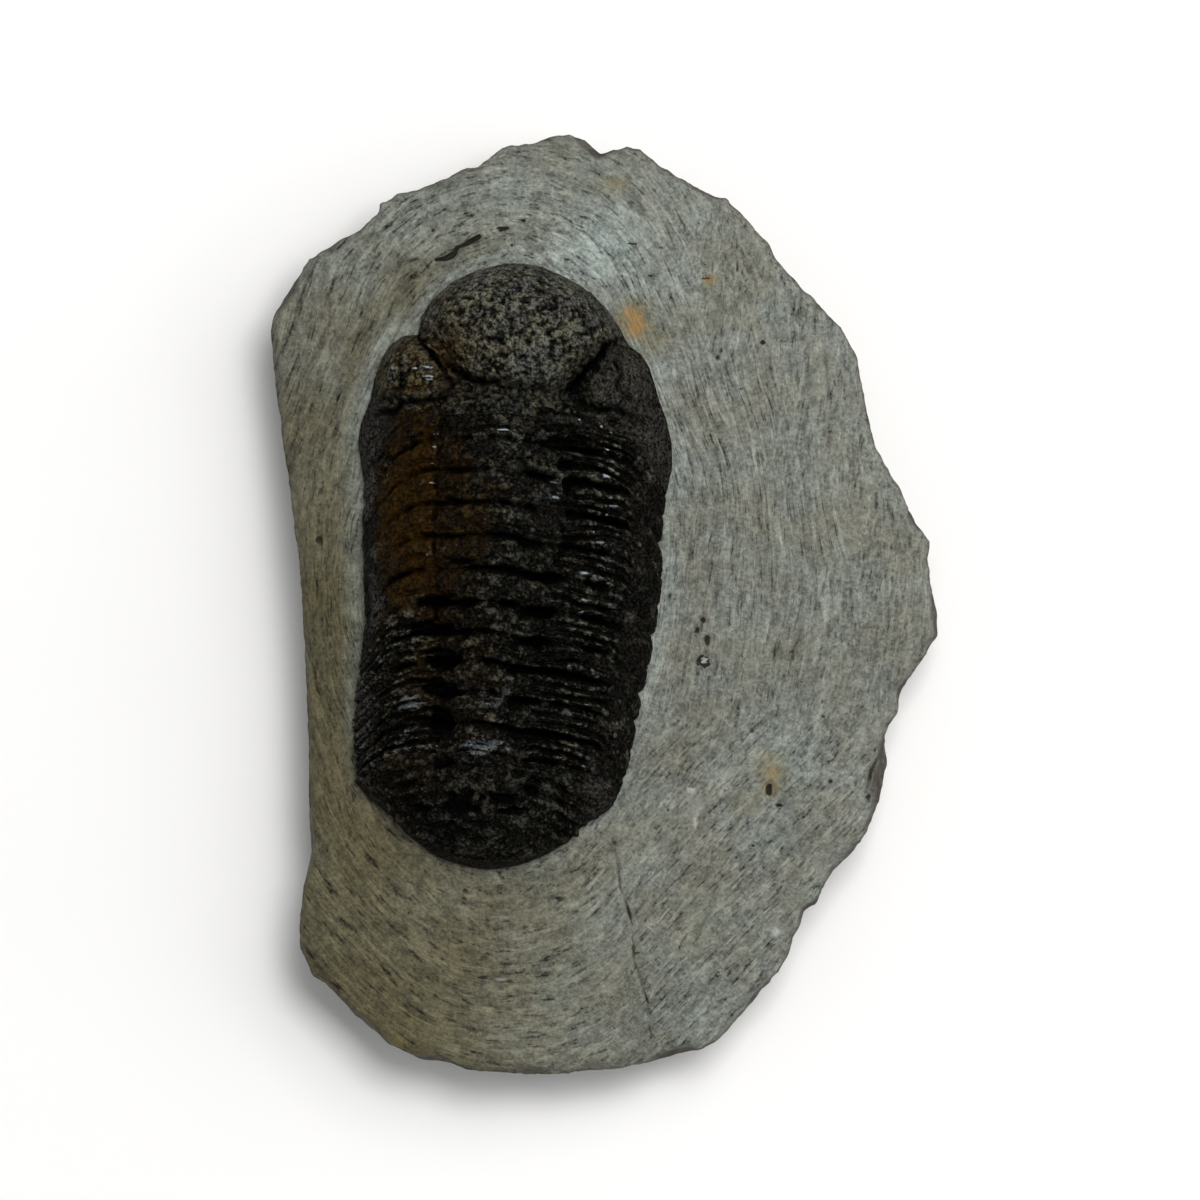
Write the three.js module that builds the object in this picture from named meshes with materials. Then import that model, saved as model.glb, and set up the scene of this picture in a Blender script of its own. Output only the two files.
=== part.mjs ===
import * as THREE from "three";

// A phacopid trilobite in its slab of limestone. Millimetres, X to the right, Y towards the head, Z up.
// The origin is on the flat base, under the middle of the slab.

// The slab's heights above its base.
const RIM_Z = 20.4; // stone surface where it meets the shell
const BED_Z = 18.5; // floor of the bed that the shell lies in
const EDGE_STEP = 3; // longest straight piece of the slab's edge
const GAP = 0.3; // clear space between neighbouring pieces
const BED_CLEARANCE = 0.45; // between the shell's margin and the rim of its bed
const RAY_SPACING = THREE.MathUtils.degToRad(3); // the bed's rim is kept clear over this turn

// The slab's broken edge seen from above, clockwise from its left corner.
const SLAB_EDGE = [
  [-41.8, 34.4], [-41.3, 36.6], [-39.2, 40.0], [-36.9, 43.3], [-33.2, 45.6], [-30.6, 47.1],
  [-29.1, 48.6], [-28.2, 49.2], [-28.1, 50.2], [-25.7, 51.6], [-23.4, 52.1], [-20.6, 53.1],
  [-17.2, 54.8], [-15.8, 54.9], [-12.9, 57.2], [-11.6, 57.6], [-9.2, 57.8], [-5.8, 58.9],
  [-4.2, 58.9], [-2.6, 58.4], [-0.5, 56.6], [1.3, 57.1], [2.8, 57.4], [4.5, 57.0],
  [6.9, 55.1], [10.5, 52.9], [13.8, 51.2], [15.4, 50.9], [16.8, 49.4], [18.1, 48.0],
  [20.6, 45.2], [21.3, 43.8], [22.7, 41.9], [25.9, 38.8], [29.6, 34.8], [31.8, 30.9],
  [32.1, 28.6], [33.4, 22.1], [34.2, 19.6], [36.2, 15.8], [37.2, 14.6], [39.1, 10.2],
  [40.8, 7.9], [40.6, 6.1], [40.8, 3.3], [41.8, -1.3], [41.8, -3.8], [41.0, -5.2],
  [37.9, -9.6], [37.0, -11.5], [36.7, -13.6], [35.6, -15.1], [35.2, -16.6], [35.5, -20.0],
  [35.1, -21.8], [34.4, -24.9], [32.9, -28.4], [31.4, -30.6], [28.9, -33.2], [27.6, -34.9],
  [26.6, -37.4], [25.1, -38.5], [24.7, -39.9], [23.6, -41.7], [23.3, -43.4], [22.4, -45.2],
  [19.1, -49.2], [16.1, -52.6], [13.9, -54.8], [12.1, -55.8], [9.2, -56.4], [6.5, -57.2],
  [2.8, -57.9], [-5.8, -58.8], [-9.5, -58.9], [-17.2, -58.2], [-19.0, -57.4], [-23.1, -56.9],
  [-27.1, -54.9], [-28.2, -53.8], [-31.1, -51.6], [-33.5, -48.8], [-34.9, -47.4], [-36.6, -46.4],
  [-38.1, -43.1], [-38.2, -40.0], [-37.7, -35.5], [-36.7, -31.1], [-37.0, -26.1], [-37.0, -20.0],
  [-37.4, -9.2], [-38.0, 2.1], [-38.8, 9.6], [-39.8, 17.0], [-40.9, 25.0], [-41.6, 31.4],
];

// The slab's broken edge: how high its top stands, and how far the wall steps in at shares of that height.
const EDGE_Z = { left: 17.2, right: 15.8, fromX: -20, toX: 40 };
const WALL_LEVELS = [
  { share: 0, inset: 1.6 },
  { share: 0.2, inset: 0.9 },
  { share: 0.48, inset: 0.5 },
  { share: 0.76, inset: 0.3 },
];
const WALL_ROUGHNESS = 0.55;

// The slab's top: shares of the way in from the edge to the bed where it has a ring of points.
const TOP_SHARES = [0.035, 0.12, 0.3, 0.55, 0.8, 0.93];
const TOP_FULLNESS = 1.7; // over 1, the top bulges between its edge and the bed
const EDGE_ROUNDING = 0.9;

// The shell lies in a frame of its own: u across it to the right, v along its axis towards the head.
const SHELL_ORIGIN = [-13.64, 4.88];
const SHELL_LEAN = THREE.MathUtils.degToRad(4.7); // the head leans to the right of the slab's Y
const SHELL_FLOOR_Z = BED_Z + GAP;
const LIP_Z = 20.9; // top of the shell's margin

// Where the 12 joints between the plates cross the axis.
const JOINTS_V = [18.2, 15.2, 11.3, 7.2, 3.1, -1.0, -5.2, -8.9, -12.6, -16.4, -20.3, -23.8];

// Widths along the shell, each a list of [v, u]. The shell leans to its left, so the right side is wider.
const LEFT_MARGIN = [[10, -17.2], [2, -16.8], [-8, -15.6], [-22, -15.8], [-29, -14.7]];
const RIGHT_MARGIN = [[11.4, 20.6], [5, 20.4], [0, 21], [-9, 20.5], [-14, 19.7], [-24, 18.7], [-28.5, 17.2]];
const AXIS_HALF_WIDTH = [[19, 8.2], [3, 7.8], [-5, 6.6], [-14, 5.8], [-24, 5.6]];
const LEFT_FULCRUM = [[19, -12.9], [0, -12.6], [-12, -11.7], [-24, -11.6]];
const RIGHT_FULCRUM = [[19, 15.4], [0, 15.8], [-12, 14.8], [-24, 13.6]];

// How far back each joint runs at the fulcrum and at the margin, from the first joint to the last.
const SWEEP = {
  left: { fulcrum: [2.2, 1.2], margin: [9.1, 5.0] },
  right: { fulcrum: [1.0, 0.9], margin: [7.6, 4.6] },
};

// Heights of the thorax above the base, each a list of [v, z].
const CREST_Z = [[19, 32.6], [6, 33.3], [-8, 32.9], [-18, 31.9], [-24, 30.7]];
const FURROW_Z = [[19, 29.4], [0, 29.9], [-14, 29.2], [-24, 27.9]];
const LEFT_FULCRUM_Z = [[19, 27.6], [0, 28.2], [-14, 27.6], [-24, 26.2]];
const RIGHT_FULCRUM_Z = [[19, 27.0], [0, 27.4], [-14, 26.8], [-24, 25.4]];

// One plate of the thorax from its front joint (0) to its back joint (1): a row of points at each share.
const SEGMENT_ROWS = [
  { share: 0, ring: -1.1, pleura: -0.8 },
  { share: 0.22, ring: -0.7, pleura: 0.25 },
  { share: 0.46, ring: 0.35, pleura: -0.3 },
  { share: 0.72, ring: 0.45, pleura: 0.4 },
  { share: 1, ring: -0.9, pleura: -0.8 },
];
const TIP_INSET = 0.45; // how far the margin draws in between two pleural tips
const FLANK_FADE = 0.7; // share of the ridges' height that is gone at the margin

// The free margin of the head shield as [s, u, v], where s is the place across the shell that the margin's
// point belongs to. The notches between the glabella and the eyes are at s of -0.5 and 0.5.
const HEAD_FRONT = [
  [-1, -18.3, 14.0], [-0.93, -18.1, 16.4], [-0.86, -17.2, 19.4], [-0.79, -16.9, 21.9], [-0.72, -16.3, 24.4],
  [-0.64, -15.2, 26.4], [-0.56, -13.6, 27.7], [-0.5, -11.9, 27.9], [-0.44, -11.8, 30.0], [-0.37, -10.7, 32.3],
  [-0.28, -8.2, 34.9], [-0.18, -5.2, 36.6], [-0.08, -1.8, 37.7], [0, 0.6, 37.9], [0.08, 2.8, 37.6],
  [0.18, 6.0, 36.5], [0.28, 9.1, 34.9], [0.37, 11.5, 32.8], [0.44, 13.1, 30.7], [0.5, 14.3, 28.9],
  [0.56, 16.0, 27.7], [0.64, 17.1, 26.3], [0.72, 17.9, 24.4], [0.79, 18.8, 22.1], [0.86, 19.8, 19.9],
  [0.93, 20.7, 17.0], [1, 21.0, 14.2],
];
const HEAD_ROWS = 17;

// The head shield's half widths, as [v, u], and its relief. Fullness and steepness shape a dome.
const HEAD_LEFT_MARGIN = [[30, -11], [27.4, -14.2], [24.1, -16.5], [20, -17.1], [14, -18.3], [9.9, -17.2]];
const HEAD_RIGHT_MARGIN = [[30, 13.4], [26.5, 17.0], [23.6, 18.2], [20.5, 19.6], [14, 21.0], [11.4, 20.6]];
const CHEEK = { z: 29.2, flatToV: 26.5, goneAtV: 29.5 };
const CHEEK_BEND = { left: { fullness: 5, steepness: 0.45 }, right: { fullness: 2.4, steepness: 0.66 } };
const GLABELLA = { u: 0.8, v: 29.3, halfWidth: 12.7, neckHalfWidth: 7.4, reach: 8.7, neckV: 21.5 };
const GLABELLA_CREST = { v: 31, z: 35.2, fall: 0.035 };
const SWOLLEN = { fullness: 3, steepness: 0.5 };
const EYES = [
  { u: -13.3, v: 23.3, halfWidth: 3.2, halfLength: 4.3, rise: 3.2 },
  { u: 12.9, v: 24.2, halfWidth: 3.4, halfLength: 4.2, rise: 3.4 },
];

// The ridge and the furrow along the head shield's joint: how far ahead of it, half width and height.
const OCCIPITAL_HALF_WIDTH = 8.5;
const OCCIPITAL_RELIEF = [[1.4, 0.9, 1.6], [3.2, 0.7, -1.1]];
const BORDER_RELIEF = [[1.3, 0.8, 0.5], [3.2, 0.8, -0.8]];
const HEAD_SWEEP = { fromU: 8, overU: 9, back: 8 };

// The free margin of the tail shield, listed in the same way.
const TAIL_BACK = [
  [-1, -13.9, -29.6], [-0.93, -12.4, -30.7], [-0.84, -10.6, -32.0], [-0.76, -9.2, -33.3], [-0.7, -8.2, -34.3],
  [-0.55, -6.1, -35.7], [-0.44, -4.2, -36.7], [-0.33, -2.3, -37.3], [-0.18, -0.1, -37.7], [0, 2.0, -37.8],
  [0.18, 4.1, -37.5], [0.33, 6.1, -36.9], [0.44, 7.9, -36.1], [0.55, 9.6, -35.2], [0.7, 11.8, -33.6],
  [0.76, 12.8, -32.6], [0.84, 13.8, -31.2], [0.93, 15.4, -30.1], [1, 16.6, -29.2],
];
const TAIL_ROWS = 11;
const TAIL = { u: 1.2, v: -24, left: 16.4, right: 17.6, length: 14.2, rise: 7.6 };
const TAIL_DOME = { fullness: 2.8, steepness: 0.6 };
const TAIL_AXIS = { halfWidth: 5.2, rise: 2.2 };
const TAIL_RIBS = { count: 5, height: 0.28 };

const stone = new THREE.MeshStandardMaterial({ color: 0x7f8278, roughness: 0.9, metalness: 0 });
const shell = new THREE.MeshStandardMaterial({ color: 0x191612, roughness: 0.42, metalness: 0 });

// Reads a list of [place, value] at one place, on straight lines between its points.
function valueAt(list, place) {
  const rising = list[0][0] < list[list.length - 1][0] ? list : [...list].reverse();
  if (place <= rising[0][0]) return rising[0][1];
  for (let i = 1; i < rising.length; i++) {
    const [before, after] = [rising[i - 1], rising[i]];
    if (place <= after[0]) {
      return THREE.MathUtils.mapLinear(place, before[0], after[0], before[1], after[1]);
    }
  }
  return rising[rising.length - 1][1];
}

function hump(distance, halfWidth) {
  return Math.exp(-((distance / halfWidth) ** 2));
}

// A dome's height share at r, which runs from 0 in its middle to 1 at its rim.
function dome(r, { fullness, steepness }) {
  return r >= 1 ? 0 : (1 - r ** fullness) ** steepness;
}

// From the shell's own frame to the slab's.
function onSlab(u, v, z) {
  return new THREE.Vector3(
    SHELL_ORIGIN[0] + u * Math.cos(SHELL_LEAN) + v * Math.sin(SHELL_LEAN),
    SHELL_ORIGIN[1] - u * Math.sin(SHELL_LEAN) + v * Math.cos(SHELL_LEAN),
    z,
  );
}

// Places across the shell, from the left margin (-1) to the right one (1). The axial furrows are at 0.4
// and the fulcrums, where the pleurae bend down, at 0.7.
const FURROW_S = 0.4;
const FULCRUM_S = 0.7;
const ACROSS = [-1, -0.93, -0.84, -0.76, -0.7, -0.55, -0.44, -0.4, -0.33, -0.18, 0];
const COLUMNS = [...ACROSS, ...ACROSS.slice(0, -1).reverse().map((s) => -s)];

// Where a place across the thorax lies, for a line that crosses the axis at v: u, z and how far back it is.
function sectionAt(s, v) {
  const side = s < 0 ? "left" : "right";
  const sign = Math.sign(s);
  const aside = Math.abs(s);
  const furrowU = valueAt(AXIS_HALF_WIDTH, v);
  const furrowZ = valueAt(FURROW_Z, v);
  if (aside <= FURROW_S) {
    const share = aside / FURROW_S;
    const rise = valueAt(CREST_Z, v) - furrowZ;
    return { u: sign * furrowU * share, z: furrowZ + rise * Math.cos(share * Math.PI / 2) ** 0.8, back: 0 };
  }
  const fulcrumU = Math.abs(valueAt(side === "left" ? LEFT_FULCRUM : RIGHT_FULCRUM, v));
  const fulcrumZ = valueAt(side === "left" ? LEFT_FULCRUM_Z : RIGHT_FULCRUM_Z, v);
  const along = (JOINTS_V[0] - v) / (JOINTS_V[0] - JOINTS_V[JOINTS_V.length - 1]);
  const fulcrumBack = THREE.MathUtils.lerp(...SWEEP[side].fulcrum, along);
  if (aside <= FULCRUM_S) {
    const share = (aside - FURROW_S) / (FULCRUM_S - FURROW_S);
    return {
      u: sign * THREE.MathUtils.lerp(furrowU, fulcrumU, share),
      z: THREE.MathUtils.lerp(furrowZ, fulcrumZ, share ** 1.5),
      back: fulcrumBack * share ** 2,
    };
  }
  const turn = (aside - FULCRUM_S) / (1 - FULCRUM_S) * Math.PI / 2;
  const marginBack = THREE.MathUtils.lerp(...SWEEP[side].margin, along);
  const marginU = Math.abs(valueAt(side === "left" ? LEFT_MARGIN : RIGHT_MARGIN, v - marginBack));
  return {
    u: sign * THREE.MathUtils.lerp(fulcrumU, marginU, Math.sin(turn)),
    z: THREE.MathUtils.lerp(LIP_Z, fulcrumZ, Math.cos(turn)),
    back: THREE.MathUtils.lerp(fulcrumBack, marginBack, Math.sin(turn) ** 1.25),
  };
}

function columnsOf(margin) {
  return margin.map(([s]) => s);
}

// A joint's line across the shell, moved along v to leave its half of the gap.
function jointLine(v, towardsHead, columns) {
  return columns.map((s) => {
    const here = sectionAt(s, v);
    const inner = sectionAt(s * 0.98, v);
    const slope = s === 0 ? 0 : (here.back - inner.back) / (here.u - inner.u);
    return [here.u, v - here.back + towardsHead * GAP / 2 * Math.sqrt(1 + slope ** 2)];
  });
}

// Turns a geometry's faces outwards when its volume comes out negative.
function facingOut(geometry) {
  const position = geometry.getAttribute("position");
  const index = geometry.getIndex().array;
  const corners = [new THREE.Vector3(), new THREE.Vector3(), new THREE.Vector3()];
  let volume = 0;
  for (let i = 0; i < index.length; i += 3) {
    corners.forEach((corner, k) => corner.fromBufferAttribute(position, index[i + k]));
    volume += corners[0].dot(corners[1].clone().cross(corners[2])) / 6;
  }
  if (volume < 0) geometry.setIndex([...index].reverse());
  geometry.computeVertexNormals();
  return geometry;
}

function closedGeometry(points, triangles) {
  const geometry = new THREE.BufferGeometry().setFromPoints(points);
  geometry.setIndex(triangles.flat());
  return facingOut(geometry);
}

// The triangles of a grid of points that are numbered row by row.
function gridTriangles(rows, columns, firstPoint) {
  const triangles = [];
  for (let row = 0; row + 1 < rows; row++) {
    for (let column = 0; column + 1 < columns; column++) {
      const here = firstPoint + row * columns + column;
      const above = here + columns;
      triangles.push([here, here + 1, above + 1], [here, above + 1, above]);
    }
  }
  return triangles;
}

// A closed plate: a grid of top points, upright walls all round it and a flat underside, which has a point
// below each point of the listed rows.
function plateGeometry(grid, floorZ, undersideRows) {
  const [rows, columns] = [grid.length, grid[0].length];
  const points = grid.flat();
  const below = points.length;
  undersideRows.forEach((row) => {
    grid[row].forEach((point) => points.push(new THREE.Vector3(point.x, point.y, floorZ)));
  });
  const footOf = (row, column) => below + undersideRows.indexOf(row) * columns + column;
  const lastFoot = (row) => undersideRows.filter((kept) => kept <= row).pop();
  const nextFoot = (row) => undersideRows.find((kept) => kept >= row);
  const rim = [
    ...grid[0].map((_, i) => ({ top: i, foot: footOf(0, i) })),
    ...grid.slice(1, -1).map((_, i) => ({
      top: (i + 2) * columns - 1,
      foot: footOf(lastFoot(i + 1), columns - 1),
    })),
    ...grid[0].map((_, i) => ({ top: rows * columns - 1 - i, foot: footOf(rows - 1, columns - 1 - i) })),
    ...grid.slice(1, -1).map((_, i) => ({
      top: (rows - 2 - i) * columns,
      foot: footOf(nextFoot(rows - 2 - i), 0),
    })),
  ];
  const triangles = gridTriangles(rows, columns, 0);
  rim.forEach((here, i) => {
    const next = rim[(i + 1) % rim.length];
    triangles.push([next.top, here.top, here.foot]);
    if (next.foot !== here.foot) triangles.push([next.top, here.foot, next.foot]);
  });
  const underside = gridTriangles(undersideRows.length, columns, below);
  triangles.push(...underside.map((corners) => corners.reverse()));
  return closedGeometry(points, triangles);
}

// Rows of points straight across a plate, from its joint to its free margin: u, v and the share of the way.
function stretched(joint, margin, rows) {
  return Array.from({ length: rows }, (_, row) => {
    const share = row / (rows - 1);
    return margin.map(([, u, v], i) => [
      THREE.MathUtils.lerp(joint[i][0], u, share),
      THREE.MathUtils.lerp(joint[i][1], v, share),
      share,
    ]);
  });
}

// The cheeks: flat across, then bending down to the margin, more steeply on the left.
function cheekHeight(u, v) {
  const half = Math.abs(valueAt(u < 0 ? HEAD_LEFT_MARGIN : HEAD_RIGHT_MARGIN, v));
  const bend = dome(Math.min(1, Math.abs(u) / half), u < 0 ? CHEEK_BEND.left : CHEEK_BEND.right);
  const forward = 1 - THREE.MathUtils.smoothstep(v, CHEEK.flatToV, CHEEK.goneAtV);
  return LIP_Z + (CHEEK.z - LIP_Z) * bend * forward;
}

// The glabella: a swollen dome, round in front and narrowing back to a neck.
function glabellaHeight(u, v) {
  const widening = THREE.MathUtils.smoothstep(v, GLABELLA.neckV, GLABELLA.v);
  const half = THREE.MathUtils.lerp(GLABELLA.neckHalfWidth, GLABELLA.halfWidth, widening);
  const ahead = Math.max(0, v - GLABELLA.v) / GLABELLA.reach;
  const crestZ = GLABELLA_CREST.z - GLABELLA_CREST.fall * (v - GLABELLA_CREST.v) ** 2;
  return LIP_Z + (crestZ - LIP_Z) * dome(Math.hypot((u - GLABELLA.u) / half, ahead), SWOLLEN);
}

function headHeight(u, v) {
  const aside = Math.max(0, Math.abs(u) - HEAD_SWEEP.fromU) / HEAD_SWEEP.overU;
  const fromJoint = v - JOINTS_V[0] + HEAD_SWEEP.back * aside ** 2;
  let z = Math.max(cheekHeight(u, v), glabellaHeight(u, v));
  for (const eye of EYES) {
    z += eye.rise * dome(Math.hypot((u - eye.u) / eye.halfWidth, (v - eye.v) / eye.halfLength), SWOLLEN);
  }
  const relief = Math.abs(u) < OCCIPITAL_HALF_WIDTH ? OCCIPITAL_RELIEF : BORDER_RELIEF;
  for (const [ahead, halfWidth, height] of relief) {
    z += height * hump(fromJoint - ahead, halfWidth);
  }
  return Math.max(z, LIP_Z);
}

function tailHeight(u, v, share) {
  const across = (u - TAIL.u) / (u < TAIL.u ? TAIL.left : TAIL.right);
  const r = Math.hypot(across, Math.min(0, v - TAIL.v) / TAIL.length);
  const axis = TAIL_AXIS.rise * hump(u, TAIL_AXIS.halfWidth);
  const ribs = TAIL_RIBS.height * Math.cos(share * TAIL_RIBS.count * 2 * Math.PI);
  return LIP_Z + TAIL.rise * dome(r, TAIL_DOME) + (axis + ribs) * Math.max(0, 1 - r ** 4);
}

function headPlate() {
  return stretched(jointLine(JOINTS_V[0], 1, columnsOf(HEAD_FRONT)), HEAD_FRONT, HEAD_ROWS);
}

function tailPlate() {
  const lastJoint = JOINTS_V[JOINTS_V.length - 1];
  return stretched(jointLine(lastJoint, -1, columnsOf(TAIL_BACK)), TAIL_BACK, TAIL_ROWS);
}

function cephalon() {
  const grid = headPlate().map((row) => row.map(([u, v]) => onSlab(u, v, headHeight(u, v))));
  return plateGeometry(grid, SHELL_FLOOR_Z, [...grid.keys()]);
}

function pygidium() {
  const grid = tailPlate().map((row) => row.map(([u, v, share]) => onSlab(u, v, tailHeight(u, v, share))));
  return plateGeometry(grid, SHELL_FLOOR_Z, [...grid.keys()]);
}

// One plate of the thorax between its front and back joints: a raised ring on the axis, and two ridges with
// a furrow between them on each side.
function thoraxSegment(frontV, backV) {
  const front = jointLine(frontV, -1, COLUMNS);
  const back = jointLine(backV, 1, COLUMNS);
  const grid = SEGMENT_ROWS.map(({ share, ring, pleura }) => {
    const tipInset = TIP_INSET * (1 - Math.sin(share * Math.PI));
    return COLUMNS.map((s, i) => {
      const aside = Math.abs(s);
      const flank = 1 - FLANK_FADE * THREE.MathUtils.smoothstep(aside, FULCRUM_S, 1);
      const relief = aside < FURROW_S ? ring : pleura * flank;
      const inset = aside === 1 ? Math.sign(s) * tipInset : 0;
      const u = THREE.MathUtils.lerp(front[i][0], back[i][0], share) - inset;
      const v = THREE.MathUtils.lerp(front[i][1], back[i][1], share);
      const { z } = sectionAt(s, THREE.MathUtils.lerp(frontV, backV, share));
      return onSlab(u, v, z + relief);
    });
  });
  return plateGeometry(grid, SHELL_FLOOR_Z, [0, SEGMENT_ROWS.length - 1]);
}

// The outline of the shell on the slab, grown by the clearance of the bed, as a closed ring of points.
function bedOutline() {
  const [head, tail] = [headPlate(), tailPlate()];
  const [left, right] = [(row) => row[0], (row) => row[row.length - 1]];
  const joints = JOINTS_V.map((v) => jointLine(v, 0, COLUMNS));
  const ring = [
    ...[...joints].reverse().map(left),
    ...head.map(left),
    ...head[head.length - 1],
    ...[...head].reverse().map(right),
    ...joints.map(right),
    ...tail.map(right),
    ...[...tail[tail.length - 1]].reverse(),
    ...[...tail].reverse().map(left),
  ].map(([u, v]) => onSlab(u, v, 0));
  return ring.map((point, i) => {
    const before = ring[(i + ring.length - 2) % ring.length];
    const after = ring[(i + 2) % ring.length];
    const along = after.clone().sub(before).normalize();
    return new THREE.Vector2(point.x - along.y * BED_CLEARANCE, point.y + along.x * BED_CLEARANCE);
  });
}

// How far a ray from the middle of the shell runs before it leaves the outline.
function distanceOut(outline, middle, direction) {
  let furthest = 0;
  outline.forEach((start, i) => {
    const end = outline[(i + 1) % outline.length];
    const edge = new THREE.Vector2(end.x - start.x, end.y - start.y);
    const offset = new THREE.Vector2(start.x - middle.x, start.y - middle.y);
    const turn = direction.x * edge.y - direction.y * edge.x;
    if (Math.abs(turn) < 1e-9) return;
    const reach = (offset.x * edge.y - offset.y * edge.x) / turn;
    const share = (offset.x * direction.y - offset.y * direction.x) / turn;
    if (reach > 0 && share >= 0 && share <= 1) furthest = Math.max(furthest, reach);
  });
  return furthest;
}

// The slab's edge with its long straight pieces cut into shorter ones.
function slabEdge() {
  const points = [];
  SLAB_EDGE.forEach(([x, y], i) => {
    const [nextX, nextY] = SLAB_EDGE[(i + 1) % SLAB_EDGE.length];
    const pieces = Math.ceil(Math.hypot(nextX - x, nextY - y) / EDGE_STEP);
    for (let k = 0; k < pieces; k++) {
      points.push(new THREE.Vector2(
        THREE.MathUtils.lerp(x, nextX, k / pieces),
        THREE.MathUtils.lerp(y, nextY, k / pieces),
      ));
    }
  });
  return points;
}

// The slab's edge is lowest on the right, where the top falls away from the shell, and it rises and dips.
function edgeHeight(x, y) {
  const acrossSlab = THREE.MathUtils.smoothstep(x, EDGE_Z.fromX, EDGE_Z.toX);
  const uneven = 0.5 * Math.sin(0.16 * y) + 0.3 * Math.sin(0.5 * x + 0.3 * y);
  return THREE.MathUtils.lerp(EDGE_Z.left, EDGE_Z.right, acrossSlab) + uneven;
}

// How far the broken wall steps in at one point of the edge and one level.
function wallInset(i, level) {
  const chips = Math.sin(i * 1.9 + level * 2.3) + 0.7 * Math.sin(i * 0.83 - level * 1.7);
  return WALL_LEVELS[level].inset + WALL_ROUGHNESS * Math.abs(chips);
}

// The slab: rings of points up its broken wall, in over its top to the bed, and down to the bed's floor.
function matrix() {
  const edge = slabEdge();
  const middle = new THREE.Vector2(SHELL_ORIGIN[0] + 1, SHELL_ORIGIN[1]);
  const outline = bedOutline();
  const rays = edge.map((point) => {
    const away = point.clone().sub(middle);
    const direction = away.clone().normalize();
    const around = [-0.5, -0.25, 0, 0.25, 0.5].map((share) => {
      const turned = direction.clone().rotateAround(new THREE.Vector2(), share * RAY_SPACING);
      return distanceOut(outline, middle, turned);
    });
    const bed = Math.max(...around);
    return { direction, bed, edge: away.length(), edgeZ: edgeHeight(point.x, point.y) };
  });
  const pointOn = (ray, distance, z) =>
    new THREE.Vector3(middle.x + ray.direction.x * distance, middle.y + ray.direction.y * distance, z);
  const rings = WALL_LEVELS.map(({ share }, level) => rays.map((ray, i) =>
    pointOn(ray, ray.edge - wallInset(i, level), ray.edgeZ * share)));
  rings.push(rays.map((ray) => pointOn(ray, ray.edge, ray.edgeZ - EDGE_ROUNDING)));
  TOP_SHARES.forEach((share) => {
    rings.push(rays.map((ray) => {
      const distance = THREE.MathUtils.lerp(ray.edge, ray.bed, share);
      const z = THREE.MathUtils.lerp(ray.edgeZ, RIM_Z, 1 - (1 - share) ** TOP_FULLNESS);
      return pointOn(ray, distance, z);
    }));
  });
  rings.push(rays.map((ray) => pointOn(ray, ray.bed, RIM_Z)));
  rings.push(rays.map((ray) => pointOn(ray, ray.bed, BED_Z)));

  const count = rays.length;
  const triangles = [];
  for (let ring = 0; ring + 1 < rings.length; ring++) {
    for (let i = 0; i < count; i++) {
      const [here, next] = [ring * count + i, ring * count + (i + 1) % count];
      triangles.push([here, next, next + count], [here, next + count, here + count]);
    }
  }
  const points = rings.flat();
  const baseMiddle = points.push(new THREE.Vector3(middle.x, middle.y, 0)) - 1;
  const bedMiddle = points.push(new THREE.Vector3(middle.x, middle.y, BED_Z)) - 1;
  const floor = (rings.length - 1) * count;
  for (let i = 0; i < count; i++) {
    const next = (i + 1) % count;
    triangles.push([next, i, baseMiddle], [floor + i, floor + next, bedMiddle]);
  }
  return closedGeometry(points, triangles);
}

function named(name, geometry, material) {
  const mesh = new THREE.Mesh(geometry, material);
  mesh.name = name;
  return mesh;
}

const specimen = new THREE.Group();
specimen.add(named("matrix", matrix(), stone));
specimen.add(named("cephalon", cephalon(), shell));
JOINTS_V.slice(1).forEach((backV, i) => {
  const number = String(i + 1).padStart(2, "0");
  specimen.add(named(`thorax_segment_${number}`, thoraxSegment(JOINTS_V[i], backV), shell));
});
specimen.add(named("pygidium", pygidium(), shell));

export default specimen;
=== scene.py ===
import bpy
import numpy as np
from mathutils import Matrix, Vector


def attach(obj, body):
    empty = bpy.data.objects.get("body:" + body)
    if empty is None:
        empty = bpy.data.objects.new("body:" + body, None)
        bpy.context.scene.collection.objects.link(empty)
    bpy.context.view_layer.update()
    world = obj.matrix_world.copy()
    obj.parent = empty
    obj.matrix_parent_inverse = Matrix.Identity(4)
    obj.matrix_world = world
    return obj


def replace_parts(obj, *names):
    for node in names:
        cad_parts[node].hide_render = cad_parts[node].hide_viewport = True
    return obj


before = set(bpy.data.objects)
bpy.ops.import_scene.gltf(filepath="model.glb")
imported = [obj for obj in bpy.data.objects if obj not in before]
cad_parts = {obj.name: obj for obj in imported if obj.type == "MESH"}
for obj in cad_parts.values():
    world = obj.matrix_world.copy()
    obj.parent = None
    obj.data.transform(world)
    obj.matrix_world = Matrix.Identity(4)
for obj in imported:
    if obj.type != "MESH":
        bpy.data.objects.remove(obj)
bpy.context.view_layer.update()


# The thorax
# The trunk of the animal: 11 plates of black calcite that took the place of the shell. Each has a ring with
# grains over the axis and a ridged pleura on each side, which bends down to a rounded tip. The plates lie
# edge to edge in the stone, and the furrows between them were picked clean with a needle.

MM = 0.001  # shapes are worked out in millimetres and go into their meshes in metres
SHELL_ORIGIN = (-13.64, 4.88)
SHELL_LEAN = np.radians(4.7)  # the head leans to the right of the slab's Y
FLOOR_Z = 18.4  # the plates' undersides, just below the floor of their bed
LIP_Z = 20.9  # top of the shell's margin

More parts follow.
